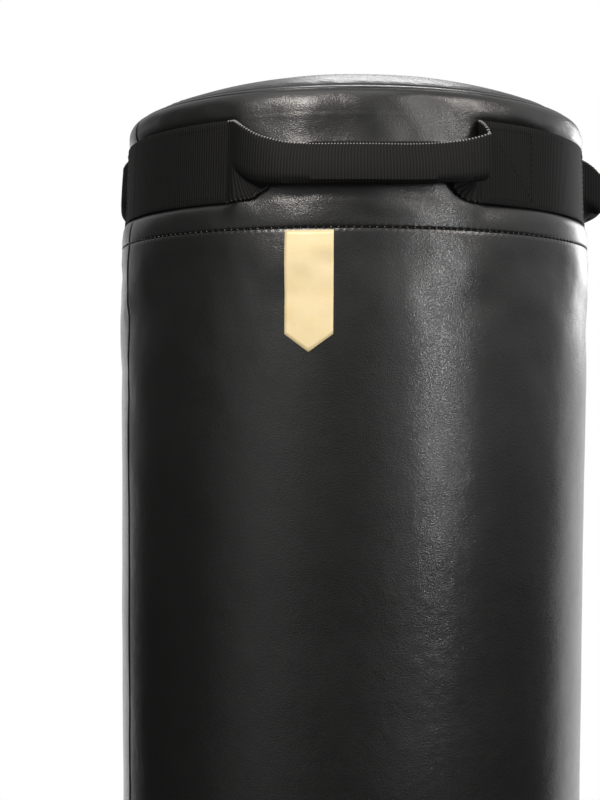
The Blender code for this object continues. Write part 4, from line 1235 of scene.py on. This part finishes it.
class BAG_OT_suction_cups(bpy.types.Operator):
    """Makes the rubber suction cups under the tank."""

    bl_idname = "bag.suction_cups"
    bl_label = "Suction cups"

    def execute(self, context):
        rubber = finish("black rubber", black_rubber)
        for number in range(1, 9):
            low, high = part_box(f"suction_cup_{number}")
            centre = ((low.x + high.x) / 2, (low.y + high.y) / 2, 0)
            made = turned(f"rubber_cup_{number}", SUCTION_CUP, rubber, 48, centre)
            dressed(made, "base", f"suction_cup_{number}")
        return {"FINISHED"}


class BAG_OT_neck(bpy.types.Operator):
    """Makes the steel plates, the ball and its cups."""

    bl_idname = "bag.neck"
    bl_label = "Neck"

    def execute(self, context):
        bag = context.scene.bag_finish
        steel = neck_steel(bag)
        for name, node, body in (
            ("lower_plate", "lower_spring_plate", "base"),
            ("upper_plate", "upper_spring_plate", "column"),
        ):
            low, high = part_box(node)
            reach = high.x
            edge = [(reach - PLATE_ROUND, 0), (reach - PLATE_CHAMFER, PLATE_CHAMFER), (reach, PLATE_ROUND)]
            profile = [(0, high.z), *[(radius, high.z - inward) for radius, inward in edge]]
            profile += [*[(radius, low.z + inward) for radius, inward in reversed(edge)], (0, low.z)]
            dressed(turned(name, profile, steel, 144), body, node)
        urethane = finish("cast urethane", cast_urethane)
        half_round = arc((0, BALL_Z), BALL_RADIUS, 90, -90, 32)
        ball = turned("urethane_ball", half_round, urethane, 64)
        dressed(ball, "ball", "pivot_ball")
        rim = math.degrees(math.asin(BALL_GAP / BALL_SEAT))
        profile = arc((0, BALL_Z), BALL_SEAT, -90, -rim, 16)
        outer = BALL_SEAT + CUP_WALL
        low = NECK_LOW_Z + WELD_GAP
        profile += [(outer - 0.0008, BALL_Z - BALL_GAP), (outer, BALL_Z - BALL_GAP - 0.0008)]
        profile += [(outer, low + 0.001), (outer - 0.001, low), (0, low)]
        dressed(turned("lower_socket", profile, steel, 64), "base", "lower_ball_cup")
        upper = [(radius, 2 * BALL_Z - height) for radius, height in profile]
        dressed(turned("upper_socket", upper, steel, 64), "column", "upper_ball_cup")
        return {"FINISHED"}


def wind_coil(shape, centre, turn, lower, turns):
    """One part of a spring: a foot on its plate, a bend, and turns that wind to the other part."""
    low = NECK_LOW_Z + WELD_GAP
    foot = Matrix.Translation((SPRING_RADIUS, -SPRING_BEND, low))
    ring = bmesh.ops.create_circle(shape, cap_ends=True, segments=16, radius=SPRING_WIRE / 2, matrix=foot)
    verts = ring["verts"]
    edges = list({edge for vertex in verts for edge in vertex.link_edges})
    made = bmesh.ops.extrude_edge_only(shape, edges=edges)["geom"]
    verts = [item for item in made if isinstance(item, bmesh.types.BMVert)]
    bmesh.ops.translate(shape, vec=(0, 0, SPRING_WIRE), verts=verts)
    edges = [item for item in made if isinstance(item, bmesh.types.BMEdge)]
    made = bmesh.ops.spin(
        shape, geom=verts + edges, cent=(SPRING_RADIUS, 0, low + SPRING_WIRE), axis=(1, 0, 0),
        dvec=(0, 0, 0), angle=-math.pi / 2, steps=8, use_merge=False,
    )["geom_last"]
    bmesh.ops.spin(
        shape, geom=made, cent=(0, 0, 0), axis=(0, 0, 1), dvec=(0, 0, SPRING_PITCH / SPRING_STEPS),
        angle=2 * math.pi * turns, steps=round(SPRING_STEPS * turns), use_merge=False,
    )
    if not lower:
        ball = Matrix.Translation((0, 0, BALL_Z))
        flip = ball @ Matrix.Rotation(math.pi, 4, "X") @ ball.inverted()
        bmesh.ops.transform(shape, matrix=flip, verts=shape.verts)
    place = Matrix.Translation(centre) @ Matrix.Rotation(turn, 4, "Z")
    bmesh.ops.transform(shape, matrix=place, verts=shape.verts)
    bmesh.ops.holes_fill(shape, edges=[edge for edge in shape.edges if edge.is_boundary])
    bmesh.ops.remove_doubles(shape, verts=shape.verts, dist=0.000001)
    bmesh.ops.recalc_face_normals(shape, faces=shape.faces)


class BAG_OT_springs(bpy.types.Operator):
    """Winds the four neck springs, each in two parts that meet in the turning ball.

    The joint that squeezes a spring gets the longer part of it: the lower one of the front and back springs,
    and the upper one of the others."""

    bl_idname = "bag.springs"
    bl_label = "Springs"

    def execute(self, context):
        steel = spring_steel()
        feet = ((0, 0, NECK_LOW_Z + SPRING_WIRE), (0, 0, NECK_HIGH_Z - SPRING_WIRE))
        for number in range(1, 5):
            angle = 90 * (number - 1)
            centre = ring_point(SPRING_CIRCLE_RADIUS, angle)
            turn = math.radians(angle + 90)
            low_turns = 4.5 if number % 2 else 1.5
            for lower in (True, False):
                shape = bmesh.new()
                wind_coil(shape, centre, turn, lower, low_turns if lower else SPRING_TURNS - low_turns)
                name = f"spring_{number}_{'lower' if lower else 'upper'}"
                made = make_object(name, shape, steel, 60)
                if lower:
                    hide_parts(f"neck_spring_{number}")
                    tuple(feet[0])
                    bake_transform(made)
                else:
                    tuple(feet[1])
                    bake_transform(made)
        return {"FINISHED"}


class BAG_OT_filling(bpy.types.Operator):
    """Makes the foam inside the cover and gives the pieces that keep their own shape their finishes."""

    bl_idname = "bag.filling"
    bl_label = "Filling and hardware"

    def execute(self, context):
        bag = context.scene.bag_finish
        foam = finish("closed cell foam", cut_foam, "closed cell foam", "#3a3a3c", 2.5)
        soft = finish("soft top foam", cut_foam, "soft top foam", "#a9a9ad", 1.8)
        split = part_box("foam_core")[1].z
        side = BAG_RADIUS - FOAM_INSET
        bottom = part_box("base_board")[1].z + FOAM_GAP
        rows = even_rows(split, bottom, 0.03)
        profile = [(FOAM_BORE, split), (side, split), *[(side - waist(height), height) for height in rows]]
        room = bottom + FLANGE_ROOM_HEIGHT
        profile += [(side, bottom), (FLANGE_ROOM_RADIUS, bottom), (FLANGE_ROOM_RADIUS, room)]
        profile += [(FOAM_BORE, room), (FOAM_BORE, split)]
        core = turned("foam_column", profile, foam, 96)
        dressed(core, "column", "foam_core")
        top = DOME_TOP_Z - CROWN_INSET
        low = split + CROWN_GAP
        shares = [n / CROWN_ROWS for n in range(CROWN_ROWS + 1)]
        profile = [(CROWN_RADIUS * share, top - CROWN_FALL * share**CAP_POWER) for share in shares]
        profile += [*CROWN_SIDE, (CROWN_SIDE[-1][0], low), (0, low)]
        crown = turned("foam_crown", profile, soft, 96)
        dressed(crown, "column", "top_pad")
        upper = COVER_BOTTOM_Z + BOTTOM_RING_WALL
        ring = [(BOTTOM_RING_OUTER, upper), (BOTTOM_RING_OUTER, COVER_BOTTOM_Z)]
        ring += [(BOTTOM_RING_INNER, COVER_BOTTOM_Z), (BOTTOM_RING_INNER, upper)]
        under = turned("bottom_cover", ring + ring[:1], cover_leather(bag), 144)
        dressed(under, "column", "bottom_panel")
        self.repaint(bag)
        return {"FINISHED"}

    def repaint(self, bag):
        """Finishes for the nodes whose own shape stays."""
        plated = spring_steel()
        steel = neck_steel(bag)
        finishes = {
            "bolt": plated,
            "threaded_insert": finish("turned brass", turned_brass),
            "core_tube": steel,
            "tube_flange": steel,
            "tube_plug": tank_plastic(bag),
            "base_board": finish("birch plywood", birch_plywood),
            "ballast_water": finish("ballast water", still_water),
        }
        for name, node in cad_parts.items():
            for key, material in finishes.items():
                if key in name:
                    node.data.materials.clear()
                    node.data.materials.append(material)


# Studio


def add_light(name, place, aim, size, power, colour="#ffffff"):
    """A soft rectangular lamp that points at a place."""
    lamp = bpy.data.lights.new(name, "AREA")
    lamp.shape = "RECTANGLE"
    lamp.size, lamp.size_y = size
    lamp.energy = power
    lamp.color = hex_colour(colour)[:3]
    made = bpy.data.objects.new(name, lamp)
    made.location = place
    made.rotation_euler = (Vector(aim) - Vector(place)).to_track_quat("-Z", "Y").to_euler()
    bpy.context.scene.collection.objects.link(made)
    return made


class BAG_OT_studio(bpy.types.Operator):
    """Sets the pale floor, the lamps, the white surroundings and the camera."""

    bl_idname = "bag.studio"
    bl_label = "Studio"

    def execute(self, context):
        self.make_floor()
        self.make_world(context.scene)
        self.make_lamps()
        self.make_camera(context.scene)
        context.scene.view_settings.view_transform = "Standard"
        return {"FINISHED"}

    def make_floor(self):
        """A pale floor that holds the shadow near the bag and melts into white further out. Glossy rays see
        it painted dark grey, a painted dark reflection in the bag's leather.
        """
        shape = bmesh.new()
        bmesh.ops.create_grid(shape, x_segments=4, y_segments=4, size=7)
        made, tree, shader = new_finish("pale studio floor", hex_colour("#e9e9e9"), {"Roughness": 0.8})
        place = add_node(tree, "TexCoord").outputs["Object"]
        mottle = add_node(tree, "TexNoise", {"Vector": place, "Scale": cells(400), "Detail": 2})
        shades = {0: mottle, 6: hex_colour("#e7e7e7"), 7: hex_colour("#ececec")}
        shade = add_node(tree, "Mix", shades, data_type="RGBA").outputs[2]
        # Painted reflection: to glossy rays the floor is mostly dark grey, so the bag reflects it dark
        rays = add_node(tree, "LightPath").outputs
        painted_dark_reflection = add_node(tree, "Math", {0: rays["Is Glossy Ray"], 1: 0.7}, operation="MULTIPLY")
        shades = {0: painted_dark_reflection, 6: shade, 7: hex_colour("#303030")}
        shade = add_node(tree, "Mix", shades, data_type="RGBA").outputs[2]
        link_finish(tree, shader, Base_Color=shade)
        reach = add_node(tree, "VectorMath", {0: place}, operation="LENGTH").outputs["Value"]
        spread = {0: reach, "From Min": 1.1, "From Max": 2.7}
        fade = add_node(tree, "MapRange", spread, interpolation_type="SMOOTHSTEP")
        clear = add_node(tree, "BsdfTransparent")
        both = add_node(tree, "MixShader", {0: fade, 1: shader, 2: clear})
        tree.links.new(both.outputs[0], tree.nodes["Material Output"].inputs[0])
        mesh = bpy.data.meshes.new("studio_floor")
        shape.to_mesh(mesh)
        shape.free()
        mesh.materials.append(made)
        floor = bpy.data.objects.new("studio_floor", mesh)
        bpy.context.scene.collection.objects.link(floor)

    def make_world(self, scene):
        """White to the camera and behind the bag. Its reflections see grey sides, dark below."""
        world = bpy.data.worlds.new("studio")
        world.use_nodes = True
        scene.world = world
        tree = world.node_tree
        tree.nodes.clear()
        way = add_node(tree, "TexCoord").outputs["Generated"]
        parts = add_node(tree, "SeparateXYZ", {0: way})
        left = add_node(tree, "MapRange", {0: parts.outputs[0], 1: -0.84, 2: -0.60, 3: 0.05, 4: 0.39})
        front = add_node(tree, "MapRange", {0: parts.outputs[0], 1: -0.62, 2: -0.2, 3: 0.0, 4: -0.07})
        right = add_node(tree, "MapRange", {0: parts.outputs[0], 1: 0.1, 2: 0.9, 3: 0.0, 4: 0.19})
        side = add_node(tree, "Math", {0: left, 1: right}, operation="ADD")
        side = add_node(tree, "Math", {0: side, 1: front}, operation="ADD")
        drop = add_node(tree, "MapRange", {0: parts.outputs[2], 1: -0.18, 2: 0.14, 3: 0.0, 4: 1.0})
        walls = add_node(tree, "Math", {0: side, 1: drop}, operation="MULTIPLY")
        glows = (((-0.695, -0.718, 0.03), 0.87, 0.32), ((0.453, -0.889, 0.06), 0.955, 0.6))
        for aim, spread, power in glows:
            aside = add_node(tree, "VectorMath", {0: way, 1: aim}, operation="DOT_PRODUCT").outputs["Value"]
            fall = {0: aside, 1: spread, 3: 0.0, 4: power}
            glow = add_node(tree, "MapRange", fall, interpolation_type="SMOOTHSTEP")
            walls = add_node(tree, "Math", {0: walls, 1: glow}, operation="ADD")
        backwards = {0: way, 1: (0.180, 0.970, -0.22)}
        toward = add_node(tree, "VectorMath", backwards, operation="DOT_PRODUCT").outputs["Value"]
        near = add_node(tree, "MapRange", {0: toward, 1: 0.62, 2: 0.78}, interpolation_type="SMOOTHSTEP")
        high = add_node(tree, "MapRange", {0: parts.outputs[2], 1: 0.06, 2: 0.22, 3: 1.0, 4: 0.0})
        back = add_node(tree, "Math", {0: near, 1: high}, operation="MULTIPLY")
        around = add_node(tree, "Mix", {0: back, 2: walls, 3: 1.0}, data_type="FLOAT")
        rays = add_node(tree, "LightPath").outputs
        bent = {0: rays["Is Glossy Ray"], 1: rays["Is Transmission Ray"]}
        mirror = add_node(tree, "Math", bent, operation="MAXIMUM")
        soft = add_node(tree, "Mix", {0: mirror, 2: 0.42, 3: around}, data_type="FLOAT")
        strength = add_node(tree, "Mix", {0: rays["Is Camera Ray"], 2: soft, 3: 1.0}, data_type="FLOAT")
        sky = add_node(tree, "Background", {0: (1, 1, 1, 1), 1: strength})
        add_node(tree, "OutputWorld", {0: sky})

    def make_lamps(self):
        """A wide lamp overhead, narrow ones for the highlights of cap and sides, and two for the rims."""
        add_light("overhead", (-0.4, -0.9, 4.6), (0, 0, 0.9), (2.6, 2.2), 18)
        add_light("right_strip", (1.33, -1.63, 1.69), (0, 0, 1.66), (0.20, 0.45), 5.8)
        add_light("left_top", (-0.62, -1.25, 2.58), (0, 0, 1.70), (0.40, 0.65), 17, "#fff9f2")
        add_light("middle_top", (0.62, -1.0, 2.25), (0, 0, 1.70), (0.20, 0.60), 1.5, "#fff9f2")
        add_light("right_top", (1.07, -0.74, 2.52), (0, 0, 1.70), (0.32, 0.65), 6.5, "#fff9f2")
        add_light("right_rim", (1.25, 1.65, 1.98), (0, 0, 1.70), (0.5, 0.55), 4)
        add_light("back_top", (0.09, 1.88, 2.96), (0, 0, 1.74), (0.55, 0.38), 2.4)

    def make_camera(self, scene):
        """The photograph's view: level with the top of the bag, turned 2 degrees to the left."""
        lens = bpy.data.cameras.new("camera")
        lens.lens = 64.2
        camera = bpy.data.objects.new("camera", lens)
        camera.location = (-0.0018, -0.9957, 1.540)
        turn = Matrix.Rotation(math.radians(2.0), 3, "Z")
        turn = turn @ Matrix.Rotation(math.radians(90 - 0.37), 3, "X")
        turn = turn @ Matrix.Rotation(math.radians(0.35), 3, "Z")
        camera.rotation_euler = turn.to_euler()
        scene.collection.objects.link(camera)
        scene.camera = camera


OPERATORS = (
    BAG_OT_studio, BAG_OT_body_cover, BAG_OT_top_cover, BAG_OT_belt, BAG_OT_handles, BAG_OT_stitching,
    BAG_OT_tacks, BAG_OT_stripe, BAG_OT_tank, BAG_OT_filler_cap, BAG_OT_suction_cups, BAG_OT_neck,
    BAG_OT_springs, BAG_OT_filling,
)


class BAG_PT_panel(bpy.types.Panel):
    """Lists the pieces of the bag and their settings."""

    bl_label = "Punching bag"
    bl_idname = "BAG_PT_panel"
    bl_space_type = "VIEW_3D"
    bl_region_type = "UI"
    bl_category = "Bag"

    def draw(self, context):
        bag = context.scene.bag_finish
        for name in BagFinish.__annotations__:
            self.layout.prop(bag, name)
        for operator in OPERATORS:
            self.layout.operator(operator.bl_idname)


def register():
    for item in (BagFinish, *OPERATORS, BAG_PT_panel):
        bpy.utils.register_class(item)
    bpy.types.Scene.bag_finish = bpy.props.PointerProperty(type=BagFinish)


def unregister():
    del bpy.types.Scene.bag_finish
    for item in (BAG_PT_panel, *reversed(OPERATORS), BagFinish):
        bpy.utils.unregister_class(item)


def main():
    register()
    for operator in OPERATORS:
        group, name = operator.bl_idname.split(".")
        getattr(getattr(bpy.ops, group), name)()


if __name__ == "__main__":
    main()
